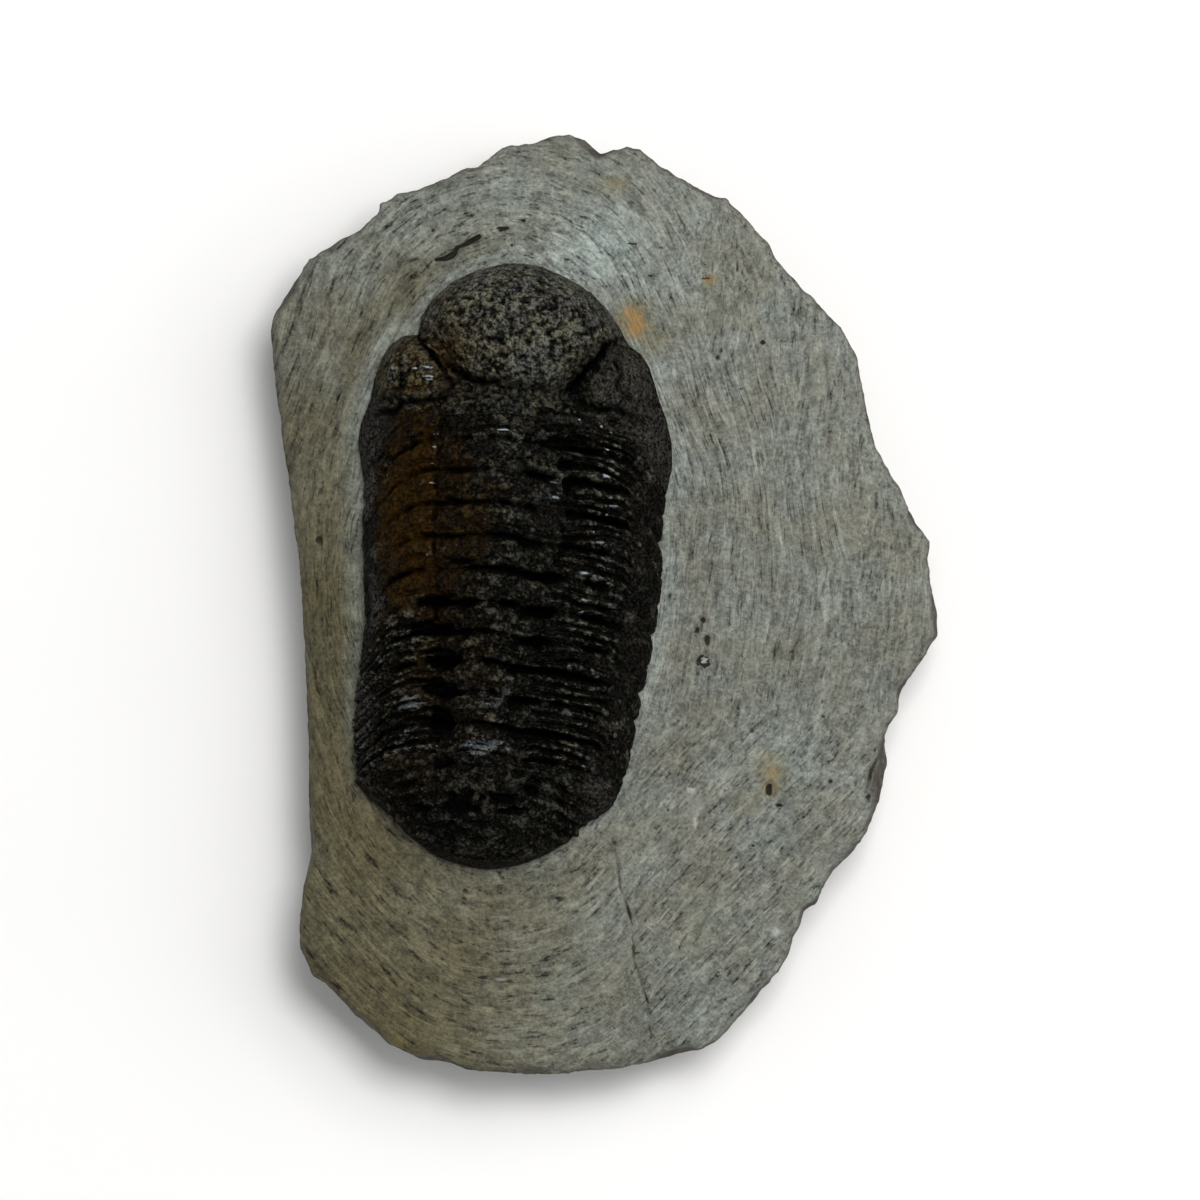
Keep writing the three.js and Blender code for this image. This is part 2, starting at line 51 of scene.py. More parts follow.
# Where the 12 joints cross the axis, and widths and heights along the shell as pairs of v and value.
JOINTS_V = [18.2, 15.2, 11.3, 7.2, 3.1, -1.0, -5.2, -8.9, -12.6, -16.4, -20.3, -23.8]
LEFT_MARGIN = [(10, -17.2), (2, -16.8), (-8, -15.6), (-22, -15.8), (-29, -14.7)]
RIGHT_MARGIN = [(11.4, 20.6), (5, 20.4), (0, 21), (-9, 20.5), (-14, 19.7), (-24, 18.7), (-28.5, 17.2)]
AXIS_HALF_WIDTH = [(19, 8.2), (3, 7.8), (-5, 6.6), (-14, 5.8), (-24, 5.6)]
LEFT_FULCRUM = [(19, -12.9), (0, -12.6), (-12, -11.7), (-24, -11.6)]
RIGHT_FULCRUM = [(19, 15.4), (0, 15.8), (-12, 14.8), (-24, 13.6)]
CREST_Z = [(19, 32.6), (6, 33.3), (-8, 32.9), (-18, 31.9), (-24, 30.7)]
FURROW_Z = [(19, 29.4), (0, 29.9), (-14, 29.2), (-24, 27.9)]
LEFT_FULCRUM_Z = [(19, 27.6), (0, 28.2), (-14, 27.6), (-24, 26.2)]
RIGHT_FULCRUM_Z = [(19, 27.0), (0, 27.4), (-14, 26.8), (-24, 25.4)]

# How far back a joint runs at the fulcrum and at the margin, from the first joint to the last.
LEFT_SWEEP = {"fulcrum": (2.2, 1.2), "margin": (9.1, 5.0)}
RIGHT_SWEEP = {"fulcrum": (1.0, 0.9), "margin": (7.6, 4.6)}
FURROW_S = 0.4  # places across the shell run from -1, the left margin, to 1, the right one
FULCRUM_S = 0.7
AXIS_ARCH = 0.75  # the joints bow towards the head over the axis
JOINT_DEPTH = 1.4  # of the furrows along the joints
JOINT_REACH = 0.9  # how far a joint's furrow reaches into the head and the tail
SMALL_GRAIN, LARGE_GRAIN = 0.5, 0.8
GRAIN_RADIUS = (0.4, 0.8)  # the least and the most, in cells
GRAIN_LEVEL = 0.4  # the mean height of grains, taken off so that they raise and lower a surface alike
SHARP_ANGLE = np.radians(65)  # the shading of a piece breaks where two faces meet at more than this
THORAX_COLUMNS, THORAX_ROWS = 420, 42

# The relief between a plate's front joint (0) and its back joint (1), as pairs of place and height.
RING = [(0, 0.0), (0.22, 0.4), (0.45, 0.5), (0.62, 0.3), (0.69, 0.0), (0.8, 0.4), (0.92, 0.3), (1, 0.0)]
LEFT_PLEURA = [(0, 0.0), (0.2, 0.25), (0.5, 0.3), (0.63, -0.2), (0.76, 0.35), (0.88, 0.15), (1, 0.0)]
RIGHT_PLEURA = [
    (0, 0.0), (0.16, 0.3), (0.25, 0.2), (0.34, -0.4), (0.46, 0.4), (0.54, 0.2), (0.63, -0.7), (0.78, 0.5),
    (0.9, 0.2), (1, 0.0),
]

# How far the margin draws in at each joint between two pleural tips.
LEFT_NOTCHES = [0.2, 0.7, 0.2, 0.15, 0.2, 0.5, 0.2, 0.8, 0.3, 0.3, 0.3, 0.2]
RIGHT_NOTCHES = [0.2, 0.3, 1.1, 0.3, 0.3, 1.2, 0.3, 1.0, 0.9, 0.3, 0.3, 0.2]

# Holes where the furrows meet, picked deep: x, y, half width, half length and depth.
PITS = [
    (-20.8, 0.4, 2.2, 0.75, 1.9), (-17.6, 0.1, 1.3, 0.6, 1.2), (-21.2, -2.9, 3.0, 0.75, 2.2),
    (-18.2, -3.4, 1.2, 0.6, 1.4), (-20.0, -6.8, 1.8, 0.95, 2.2), (-20.2, -10.6, 2.2, 0.9, 2.4),
    (-20.4, -14.7, 1.3, 1.4, 2.4), (-21.5, -14.3, 3.0, 0.5, 1.4), (-18.3, 5.3, 1.7, 0.45, 1.2),
    (-19.0, 13.0, 0.8, 0.45, 0.9), (-5.0, 20.2, 2.6, 0.5, 1.6), (-4.8, 17.4, 0.9, 0.6, 1.3),
    (-7.0, 22.0, 1.4, 0.4, 1.0), (-4.6, 14.9, 0.7, 0.6, 1.4), (-8.6, 7.6, 1.8, 0.5, 1.5),
    (-7.2, 3.1, 2.2, 0.55, 1.6), (-8.2, -1.0, 2.2, 0.6, 1.7), (-9.6, -4.8, 2.2, 0.5, 1.4),
    (-10.3, -8.2, 1.8, 0.5, 1.3), (-10.8, -12.0, 1.8, 0.5, 1.2), (-10.6, -16.4, 1.6, 0.4, 1.0),
]

# Scales of pale skin left on the shell, and painted highlights: pale dashes for the glints on ridges and
# eyes. x, y, half width, half length and strength.
SCALES_AND_GLINTS = [
    (-23.9, -12.2, 2.0, 1.0, 0.42), (-23.7, -16.2, 2.0, 0.8, 0.5), (-15.8, -11.9, 3.2, 1.4, 0.3),
    (-15.6, -17.5, 3.6, 1.3, 0.38), (-6.7, -17.0, 0.9, 0.2, 0.9), (-5.6, -20.4, 2.0, 1.2, 0.2),
    (-9.1, -25.1, 1.7, 0.7, 0.22), (-6.2, 14.1, 0.8, 1.2, 0.55), (-11.4, 11.4, 3.4, 0.8, 0.22),
    (-20.6, 21.2, 0.7, 0.14, 0.9), (-21.1, 19.5, 0.2, 0.35, 0.7), (-21.6, 17.7, 1.4, 0.12, 0.6),
    (-21.3, 15.2, 0.4, 0.2, 0.7), (-22.0, 6.7, 0.2, 0.8, 0.5), (-19.7, 7.1, 0.4, 0.5, 0.35),
    (-11.8, 21.7, 1.5, 0.13, 0.8), (-3.7, 24.0, 0.3, 0.2, 0.8), (-3.1, 23.0, 0.2, 0.2, 0.8),
    (-0.3, 22.2, 0.5, 0.15, 0.8), (1.1, 21.5, 0.25, 0.2, 0.8), (-22.6, 29.3, 1.3, 0.3, 0.75),
    (-21.9, 28.2, 1.4, 0.3, 0.75), (-22.2, 27.3, 0.5, 0.25, 0.5), (-26.6, 29.3, 1.0, 0.4, 0.5),
    (-24.6, 31.9, 0.9, 0.7, 0.3), (-22.4, 24.9, 2.4, 0.15, 0.6), (-4.4, -13.0, 1.2, 0.5, 0.2),
    (-13.4, 18.2, 3.0, 1.4, 0.06), (-3.1, -17.6, 0.5, 0.3, 0.5), (-20.8, -17.6, 0.4, 0.3, 0.6),
]


def read(pairs, place):
    """Reads pairs of place and value at any places, on straight lines between them."""
    places, values = np.array(sorted(pairs), float).T
    return np.interp(place, places, values)


def between(ends, share):
    """The value a share of the way from the first of two ends to the second."""
    return ends[0] + (ends[1] - ends[0]) * share


def soft_step(low, high, value):
    """An S curve from 0 at low to 1 at high: 3 t squared minus 2 t cubed."""
    share = np.clip((value - low) / (high - low), 0, 1)
    return share * share * (3 - 2 * share)


def soft_read(pairs, place):
    """Reads pairs of place and value along S curves, so that every pair is the top or the foot of a
    swell."""
    places, values = np.array(pairs, float).T
    step = np.clip(np.searchsorted(places, place, side="right") - 1, 0, len(places) - 2)
    share = soft_step(places[step], places[step + 1], place)
    return between((values[step], values[step + 1]), share)


def swell(distance, half_width):
    """A bell curve of height 1: e to the minus square of the distance in half widths."""
    return np.exp(-((distance / half_width) ** 2))


# Large odd numbers that mix the bits of a cell's three whole numbers and of the seed.
CELL_FACTORS, SEED_FACTOR, MIXING_FACTOR = (374761393, 668265263, 974634777), 362437, 1274126177
LAST_32_BITS = 0xFFFFFFFF


def scatter(cells, seed):
    """A repeatable random number from 0 to 1 for each cell: its three whole numbers are multiplied by large
    odd numbers and added, and the sum's bits are mixed twice."""
    cells = cells.astype(np.int64)
    mixed = cells @ np.array(CELL_FACTORS) + seed * SEED_FACTOR
    mixed &= LAST_32_BITS
    mixed = ((mixed ^ (mixed >> 13)) * MIXING_FACTOR) & LAST_32_BITS
    return (mixed ^ (mixed >> 16)) / LAST_32_BITS


def clouds(points, size, seed):
    """Soft unevenness from -1 to 1: a random number at each corner of a cubic lattice, blended between the
    eight corners round a point along S curves."""
    scaled = points / size
    corner = np.floor(scaled)
    part = scaled - corner
    part = part * part * (3 - 2 * part)
    total = 0
    for step in np.ndindex(2, 2, 2):
        weight = np.prod(np.where(np.array(step) == 1, part, 1 - part), axis=-1)
        total = total + weight * scatter(corner + np.array(step), seed)
    return 2 * total - 1


def spread(x, y):
    """Places seen from above as points at height 0, for a pattern that doesn't change with the height."""
    return np.stack([x, y, 0 * x], -1)


def banded(across, row, seed, along=0.0):
    """Clouds of size 1 whose three directions are a place across, a row, and a place along the row."""
    return clouds(np.stack(np.broadcast_arrays(across, row, along), -1), 1.0, seed)


def rough(points, size, seed, layers=3):
    """Unevenness from about -1 to 1 in layers of clouds, each half the size and height of the one
    before."""
    return sum(clouds(points, size / 2 ** k, seed + 17 * k) / 2 ** k for k in range(layers)) / 1.6


def grains(points, size, seed):
    """Rounded grains from 0 to 1: each cell of a lattice holds a ball at a random place and of a random
    size, and the height is that of the highest ball there, 1 minus the square of the distance in radii."""
    scaled = points / size
    corner = np.floor(scaled)
    height = np.zeros(points.shape[:-1])
    for step in np.ndindex(3, 3, 3):
        cell = corner + (np.array(step) - 1)
        middle = cell + np.stack([scatter(cell, seed + k) for k in range(3)], -1)
        radius = between(GRAIN_RADIUS, scatter(cell, seed + 3))
        height = np.maximum(height, 1 - np.sum((scaled - middle) ** 2, -1) / radius ** 2)
    return height


def from_path(x, y, path):
    """The distance from each place to a line of straight pieces, and the share of the line's length at
    which the nearest point lies."""
    path = np.array(path, float)
    lengths = np.hypot(*np.diff(path, axis=0).T)
    nearest = np.full(np.shape(x), 1e9)
    share = np.zeros(np.shape(x))
    for k, length in enumerate(lengths):
        along = (path[k + 1] - path[k]) / length
        run = np.clip((x - path[k, 0]) * along[0] + (y - path[k, 1]) * along[1], 0, length)
        away = np.hypot(x - path[k, 0] - run * along[0], y - path[k, 1] - run * along[1])
        share = np.where(away < nearest, (lengths[:k].sum() + run) / lengths.sum(), share)
        nearest = np.minimum(nearest, away)
    return nearest, share


def on_slab(u, v):
    """From the shell's own frame, u to its right and v to its head, to the slab's: a turn by the lean."""
    x = SHELL_ORIGIN[0] + u * np.cos(SHELL_LEAN) + v * np.sin(SHELL_LEAN)
    y = SHELL_ORIGIN[1] - u * np.sin(SHELL_LEAN) + v * np.cos(SHELL_LEAN)
    return x, y


def section(s, v):
    """The trunk's cross section at place s, for a joint that crosses the axis at v: u, z and how far back
    it lies. The axis is a cosine hump, the pleura falls by a power of 1.5, and the flank is a quarter of an
    ellipse."""
    s, v = np.broadcast_arrays(np.asarray(s, float), np.asarray(v, float))
    left = s < 0
    aside = np.abs(s)
    furrow_u, furrow_z = read(AXIS_HALF_WIDTH, v), read(FURROW_Z, v)
    fulcrum_u = np.where(left, -read(LEFT_FULCRUM, v), read(RIGHT_FULCRUM, v))
    fulcrum_z = np.where(left, read(LEFT_FULCRUM_Z, v), read(RIGHT_FULCRUM_Z, v))
    along = (JOINTS_V[0] - v) / (JOINTS_V[0] - JOINTS_V[-1])
    fulcrum_back, margin_back = [
        np.where(left, between(LEFT_SWEEP[part], along), between(RIGHT_SWEEP[part], along))
        for part in ("fulcrum", "margin")
    ]
    margin_v = v - margin_back
    margin_u = np.where(left, -read(LEFT_MARGIN, margin_v), read(RIGHT_MARGIN, margin_v))

    axis = np.clip(aside / FURROW_S, 0, 1)
    pleura = np.clip((aside - FURROW_S) / (FULCRUM_S - FURROW_S), 0, 1)
    turn = np.clip((aside - FULCRUM_S) / (1 - FULCRUM_S), 0, 1) * np.pi / 2
    u = furrow_u * axis + (fulcrum_u - furrow_u) * pleura + (margin_u - fulcrum_u) * np.sin(turn)
    z = furrow_z + (read(CREST_Z, v) - furrow_z) * np.clip(np.cos(axis * np.pi / 2), 0, 1) ** 0.8
    z = z + (fulcrum_z - furrow_z) * pleura ** 1.5 + (LIP_Z - fulcrum_z) * (1 - np.cos(turn))
    back = fulcrum_back * pleura ** 2 + (margin_back - fulcrum_back) * np.sin(turn) ** 1.25
    back = back - AXIS_ARCH * (1 - soft_step(0, 1, axis)) * np.sign(JOINTS_V[0] + 1 - v)
    return np.sign(s) * u, z, back


def joint_line(v, s):
    """A joint's line across the shell, as u and v."""
    u, _, back = section(s, v)
    return u, v - back


def raised(x, y, z, height):
    """Moves a grid of points out along the surface's normal, the cross product of its two tangents."""
    points = np.stack([x, y, z], -1)
    normal = np.cross(np.gradient(points, axis=1), np.gradient(points, axis=0))
    normal /= np.linalg.norm(normal, axis=-1, keepdims=True) + 1e-9
    normal *= np.where(normal[..., 2:] < 0, -1, 1)
    moved = points + normal * height[..., None]
    return moved[..., 0], moved[..., 1], moved[..., 2]


def grid_faces(index):
    """The four corners of each face of a grid of point numbers."""
    corners = [index[:-1, :-1], index[:-1, 1:], index[1:, 1:], index[1:, :-1]]
    return np.stack(corners, -1).reshape(-1, 4)


def solid(name, points, quads, others, marks, material):
    """Makes a closed piece from points in millimetres, faces of four corners and other faces, with its
    faces turned out if its volume is negative. Each of the marks becomes an attribute that the material
    reads."""
    ring = [points[quads[:, k]] for k in range(4)]
    volume = np.einsum("ij,ij->", ring[0], np.cross(ring[1] - ring[3], ring[2] - ring[0]))
    faces = quads.tolist() + [list(map(int, face)) for face in others]
    if volume > 0:
        faces = [face[::-1] for face in faces]
    mesh = bpy.data.meshes.new(name)
    mesh.from_pydata((points * MM).tolist(), [], faces)
    mesh.shade_smooth()
    mesh.set_sharp_from_angle(angle=SHARP_ANGLE)
    for mark, values in marks.items():
        attribute = mesh.attributes.new(mark, "FLOAT", "POINT")
        attribute.data.foreach_set("value", np.ascontiguousarray(values, np.float32))
    mesh.materials.append(material)
    piece = bpy.data.objects.new(name, mesh)
    bpy.context.scene.collection.objects.link(piece)
    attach(piece, "root")
    return piece


def plate(name, x, y, z, marks):
    """A plate of the shell from a grid of top points. Its rim goes straight down to the floor of the bed,
    where strips join the feet of the first row to those of the last."""
    rows, columns = x.shape
    top = np.stack([x, y, z], -1).reshape(-1, 3)
    feet = np.stack([x[[0, -1]], y[[0, -1]], np.full((2, columns), FLOOR_Z)], -1).reshape(-1, 3)
    index = np.arange(rows * columns).reshape(rows, columns)
    foot = rows * columns + np.arange(2 * columns).reshape(2, columns)
    quads = np.concatenate([
        grid_faces(index),
        grid_faces(np.stack([foot[0], index[0]])),
        grid_faces(np.stack([index[-1], foot[1]])),
        grid_faces(foot[::-1]),
    ])
    sides = [
        [foot[0, 0], *index[:, 0], foot[1, 0]][::-1],
        [foot[0, -1], *index[:, -1], foot[1, -1]],
    ]
    marks = {
        mark: np.concatenate([values.ravel(), values[0], values[-1]]) for mark, values in marks.items()
    }
    piece = solid(name, np.concatenate([top, feet]), quads, sides, marks, SHELL)
    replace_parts(piece, name)
    return piece


def tone(red, green, blue):
    """A colour as it looks on a screen, 0 to 255, as the light that a shader works with."""
    screen = np.array([red, green, blue]) / 255
    light = np.where(screen <= 0.04045, screen / 12.92, ((screen + 0.055) / 1.055) ** 2.4)
    return (*light.tolist(), 1.0)


class Finish:
    """A material while its nodes are being added. Every method adds one node and returns its output."""

    def __init__(self, name):
        self.material = bpy.data.materials.new(name)
        self.material.use_nodes = True
        self.tree = self.material.node_tree
        self.tree.nodes.clear()
        self.place = self.add("TexCoord", {}, "Object")

    def add(self, kind, sockets, output=0, **settings):
        """A node of that kind: an output given for a socket is linked to it, and a value is set on it."""
        node = self.tree.nodes.new("ShaderNode" + kind)
        for setting, value in settings.items():
            setattr(node, setting, value)
        for socket, value in sockets.items():
            if isinstance(value, bpy.types.NodeSocket):
                self.tree.links.new(value, node.inputs[socket])
            else:
                node.inputs[socket].default_value = value
        return node.outputs[output] if node.outputs else node

    def noise(self, size, detail=2.0, place=None, harshness=0.55):
        """Soft noise from 0 to 1 whose patches are about this many millimetres wide."""
        sockets = {"Vector": place or self.place, "Scale": 1 / (size * MM)}
        return self.add("TexNoise", {**sockets, "Detail": detail, "Roughness": harshness})

    def mark(self, name):
        return self.add("Attribute", {}, "Fac", attribute_name=name)

    def levels(self, value, low, high, to_low=0.0, to_high=1.0):
        """Stretches the range from low to high over another range along an S curve, and cuts off the
        rest."""
        sockets = {"Value": value, "From Min": low, "From Max": high, "To Min": to_low, "To Max": to_high}
        return self.add("MapRange", sockets, interpolation_type="SMOOTHSTEP")

    def calc(self, operation, first, second):
        return self.add("Math", {0: first, 1: second}, operation=operation)

    def times(self, first, second):
        return self.calc("MULTIPLY", first, second)

    def plus(self, first, second):
        return self.calc("ADD", first, second)

    def minus(self, first, second):
        return self.calc("SUBTRACT", first, second)

    def blend(self, share, first, second, how="MIX"):
        """Two colours, mixed by a share from 0, all the first, to 1, all the second."""
        return self.add("Mix", {0: share, 6: first, 7: second}, 2, data_type="RGBA", blend_type=how)

    def surface(self, height, distance, **sockets):
        """The surface itself, with a height that shows as fine relief this many millimetres high."""
        normal = self.add("Bump", {"Height": height, "Distance": distance * MM, "Strength": 1.0})
        shader = self.add("BsdfPrincipled", {"Normal": normal, **sockets})
        self.add("OutputMaterial", {"Surface": shader})
        return self.material


def shell_finish():
    """Black calcite with pale grains of wear, an amber stain on the left of the trunk and a slate cast on
    the flanks. The pale on the rib crests is partly painted highlight, the slate on the left flank is partly
    a painted reflection, and the pale scale colour also holds painted glints. A thin glossy coat lies on the
    crests, on the scales and in small glints, and the picked furrows, pits and hollows are painted near
    black as painted shade."""
    finish = Finish("calcite_shell")
    mottle = finish.noise(0.55, 3, harshness=0.65)
    speck = finish.noise(0.3, 3, harshness=0.75)
    broad = finish.noise(3.2, 3)
    wide = finish.noise(7.0, 2)
    amber = finish.mark("amber")
    slate_and_sheen = finish.mark("slate_and_sheen")
    scale_and_glint = finish.mark("scale_and_glint")

    dark = finish.blend(finish.levels(mottle, 0.42, 0.68), tone(0, 0, 0), tone(15, 14, 9))
    dark = finish.blend(finish.levels(speck, 0.56, 0.64, 0.0, 0.45), dark, tone(54, 52, 43))
    wear_and_highlight = finish.blend(finish.levels(broad, 0.35, 0.65), tone(116, 115, 97), tone(102, 103, 99))
    wear_and_highlight = finish.blend(finish.levels(wide, 0.52, 0.72, 0.0, 0.5), wear_and_highlight, tone(106, 97, 78))
    # This mark holds pale grains of wear and, on the rib crests, painted highlights.
    share = finish.times(finish.mark("wear_and_highlight"), finish.levels(speck, 0.4, 0.54, 0.12, 1.0))
    body = finish.blend(share, dark, wear_and_highlight)
    rust = finish.blend(finish.levels(mottle, 0.34, 0.68), tone(13, 8, 1), tone(46, 29, 3))
    rust = finish.blend(share, rust, tone(82, 66, 16))
    amber = finish.times(amber, finish.levels(broad, 0.3, 0.5, 0.7, 1.0))
    body = finish.blend(amber, body, rust)
    grainy = finish.plus(mottle, speck)
    # The slate colour is partly a painted reflection, the blue-grey sheen on the left flanks.
    blue = finish.blend(finish.levels(grainy, 0.88, 1.18), tone(4, 5, 6), tone(72, 69, 65))
    body = finish.blend(slate_and_sheen, body, blue)
    # The scale mark is pale skin and painted glints, pale highlights painted on ridges and eyes.
    flaked = finish.plus(scale_and_glint, finish.times(speck, 0.6))
    body = finish.blend(finish.levels(flaked, 0.5, 1.15), body, tone(142, 152, 156))
    # Painted shade: the deep mark, from the depth of furrows, pits and hollows, paints them near black.
    deep = finish.mark("deep")
    body = finish.blend(deep, body, tone(1, 1, 1))

    glint = finish.levels(grainy, 0.92, 1.16)
    roughness = finish.levels(mottle, 0.35, 0.65, 0.7, 0.5)
    coat = finish.times(finish.mark("gloss"), finish.levels(glint, 0.0, 1.0, 0.3, 1.0))
    coat = finish.plus(coat, finish.times(glint, 0.05))
    coat = finish.times(coat, finish.minus(1.0, deep))
    height = finish.plus(speck, finish.times(finish.noise(0.1, 1), 0.5))
    return finish.surface(height, 0.09, **{
        "Base Color": body, "Roughness": roughness, "Specular IOR Level": 0.03,
        "Coat Weight": coat, "Coat Roughness": 0.22,
    })


SHELL = shell_finish()


def ellipses(x, y, spots, raggedness, seed, patches=0.8, rim=(1.25, 0.6)):
    """Spots with ragged rims: the highest of the flat-topped ellipses. Clouds make the distance from a
    spot's middle waver, and the spot fades out between the two distances of its rim."""
    wave = raggedness * rough(spread(x, y), patches, seed)
    height = np.zeros_like(x)
    for spot_x, spot_y, half_width, half_length, strength in spots:
        away = np.hypot((x - spot_x) / half_width, (y - spot_y) / half_length)
        height = np.maximum(height, strength * soft_step(*rim, away + wave))
    return height


def scales_and_glints(x, y, back):
    """The pale scales and the painted glints: spots broken into streaks, which are clouds stretched along
    the ribs.
    """
    streaks = banded(x / 2.2, (y + 0.1 * x + back) / 0.27, 87)
    streaks = soft_step(-0.05, 0.3, streaks + 0.4 * clouds(spread(x, y), 0.35, 89))
    return ellipses(x, y, SCALES_AND_GLINTS, 0.6, 83) * (0.12 + 0.88 * streaks)


def amber_stain(x, y):
    """How much of the amber stain each place has: a wide ellipse on the left of the trunk, and its tail."""
    flat = spread(x, y)
    wave = 0.32 * rough(flat, 4.0, 500) + 0.3 * rough(flat, 1.2, 503)
    high = soft_step(1.15, 0.55, np.hypot((x + 21.6) / 8.2, (y - 11.0) / 15.5) + wave)
    low = 0.45 * soft_step(1.2, 0.5, np.hypot((x + 19.0) / 6.5, (y + 8.0) / 9.0) + wave)
    return np.maximum(high, low)


def pitted(x, y):
    """How deep the picked holes are: bell curves that are wider than they are long, with wavering rims."""
    wave = 0.5 * rough(spread(x, y), 1.3, 43)
    depth = np.zeros_like(x)
    for pit_x, pit_y, half_width, half_length, deep in PITS:
        across, along = np.abs(x - pit_x) / half_width, np.abs(y - pit_y) / half_length
        depth = np.maximum(depth, deep * np.exp(-((across + wave).clip(0) ** 2.6) - (along + wave) ** 2))
    return depth


def even_places(count):
    """Places from -1 to 1 that lie evenly along the trunk's cross section."""
    s = np.linspace(-1, 1, 2001)
    steps = [np.diff(part) ** 2 for part in section(s, 0.0)]
    run = np.concatenate([[0], np.cumsum(np.sqrt(sum(steps)))])
    return np.interp(np.linspace(0, run[-1], count), run, s)


def over_axis(s):
    """1 over the axis and 0 over the pleurae."""
    return soft_step(0.43, 0.37, np.abs(s))


def short_of_flank(s):
    """1 up to the right fulcrum and almost 0 on the flank beyond it, where the ribs are worn away."""
    return 1 - 0.88 * soft_step(0.64, 0.78, np.abs(s))


def rearward(number):
    """0 at the front plates and joints and 1 at the rear ones, where the left side is ribbed as the right
    one."""
    return soft_step(5.0, 8.0, number)


def joint_depth(number, s):
    """How deep a joint's furrow is at each place across: shallow on the left, deep from the middle of the
    axis to the right fulcrum, and uneven along its length. The first joint shows only to the right of the
    axis, and the last one mostly there."""
    on_axis = over_axis(s)
    axis = 0.5 + 0.55 * soft_step(-0.1, 0.15, s)
    pleura = np.where(s < 0, 0.7, 1.05)
    unevenness = 0.8 + 0.8 * banded(s * 8, 3 * number, 61) + 0.5 * banded(s * 21, 5 * number, 67)
    on_flank = np.where(s < 0, 0.75 - 0.55 * rearward(number), 0.9)
    fade = 1 - on_flank * soft_step(0.6, 0.8, np.abs(s))
    if number == 0:
        fade = fade * 0.5 * soft_step(0.22, 0.36, s)
    if number == len(JOINTS_V) - 1:
        fade = fade * (0.3 + 0.5 * soft_step(0.3, 0.45, s))
    return JOINT_DEPTH * (axis * on_axis + pleura * (1 - on_axis)) * np.clip(unevenness, 0.05, 1.5) * fade


def joint_furrows(number, s, t):
    """The furrows along both joints of a plate: bell curves that are wider on the right."""
    length = JOINTS_V[number - 1] - JOINTS_V[number]
    half_width = 0.3 + 0.12 * soft_step(-0.1, 0.2, s) + 0.12 * banded(s * 13, number, 37)
    front = joint_depth(number - 1, s) * swell(t * length, half_width)
    return front + joint_depth(number, s) * swell((1 - t) * length, half_width)


def axial_furrows(s, t, v, points):
    """The furrows beside the axis: broken lines that waver a little."""
    beside = FURROW_S + 0.02 * banded(np.sign(s), v / 1.6, 29)
    dashes = soft_step(0.12, 0.25, t) * soft_step(0.62, 0.5, t) * np.where(s < 0, 0.9, 0.5)
    unbroken = soft_step(-0.6, 0.1, clouds(points, 1.6, 47))
    return swell(np.abs(s) - beside, 0.014) * (0.15 + dashes * unbroken)


def smooth_plate(number, s, t):
    """A plate before its relief, as x, y, z, its v, and how far back its front joint runs: the two joints
    bound it, the trunk's section lifts it, and its margin draws in between two tips."""
    front_v, back_v = JOINTS_V[number - 1:number + 1]
    front_u, front_line = joint_line(front_v, s)
    back_u, back_line = joint_line(back_v, s)
    u = between((front_u, back_u), t)
    v = between((front_line, back_line), t)
    z = section(s, between((front_v, back_v), t))[1]
    notches = [np.where(s < 0, LEFT_NOTCHES[k], RIGHT_NOTCHES[k]) for k in (number - 1, number)]
    inset = np.where(t < 0.5, *notches) * np.abs(2 * t - 1) ** 4 * soft_step(0.86, 1, np.abs(s))
    x, y = on_slab(u - np.sign(s) * inset, v)
    return x, y, z, v, front_v - front_line


def ring_and_ribs(number, s, place):
    """The height of ring and pleurae at a place from the front joint (0) to the back one (1): their
    profiles, which clouds make stronger and weaker, and which fade out on the flanks, further out on the
    lower left."""
    on_axis, low = over_axis(s), rearward(number)
    ribs = soft_read(RIGHT_PLEURA, place)
    left_ribs = soft_read(LEFT_PLEURA, place) * (1 - 0.6 * low) + 0.9 * low * ribs
    left_fade = 1 - (0.9 - 0.7 * low) * soft_step(0.58, 0.72, np.abs(s))
    pleura = np.where(s < 0, left_ribs * left_fade, ribs * short_of_flank(s))
    strength = 0.85 + 0.6 * banded(s * 11, number, 23, place * 3.4)
    strength = strength + 0.35 * banded(s * 27, number, 27, place * 4)
    return (soft_read(RING, place) * on_axis + pleura * (1 - on_axis)) * strength


def pale_wear_and_highlights(number, s, t, place, ridges, wave, fine):
    """How much pale grain of wear shows, and how much of it along the rings' back lips: it lies in patches
    over the axis, on the crests of the ribs, where it is partly a painted highlight that is brightest by
    the right fulcrum, and in stripes on the flanks."""
    on_axis, low = over_axis(s), rearward(number)
    on_ring = on_axis * soft_step(-0.4, -0.05, s + 0.08 * wave) * (0.5 + soft_step(-0.1, 0.6, wave))
    on_crest = (1 - on_axis) * np.clip(ridges / 0.4, 0, 1)
    right_crest = 0.9 * short_of_flank(s) * (0.4 + 0.6 * soft_step(0.5, 0.58, s))
    stripes = banded(s * 10, (t + number) * 4.2, 91) + 0.5 * fine
    right_flank = 0.3 * soft_step(0.15, 0.6, wave) + 0.4 * soft_step(0.3, 0.7, stripes)
    amount = 0.04 + 0.2 * on_ring + 0.12 * low * (s < 0.3)
    # Painted highlight: pale on the rib crests, strongest just short of the right fulcrum.
    amount = amount + on_crest * np.where(s < 0, 0.15 + 0.35 * low, right_crest)
    amount = amount + right_flank * soft_step(0.68, 0.76, s)
    amount = amount + 0.25 * soft_step(0.1, 0.6, stripes) * soft_step(0.7, 0.78, -s)
    lip = soft_step(0.72, 0.82, place) * soft_step(0.99, 0.93, place)
    return amount, lip * on_axis * soft_step(-0.1, 0.05, s) * soft_step(-0.3, 0.4, wave)


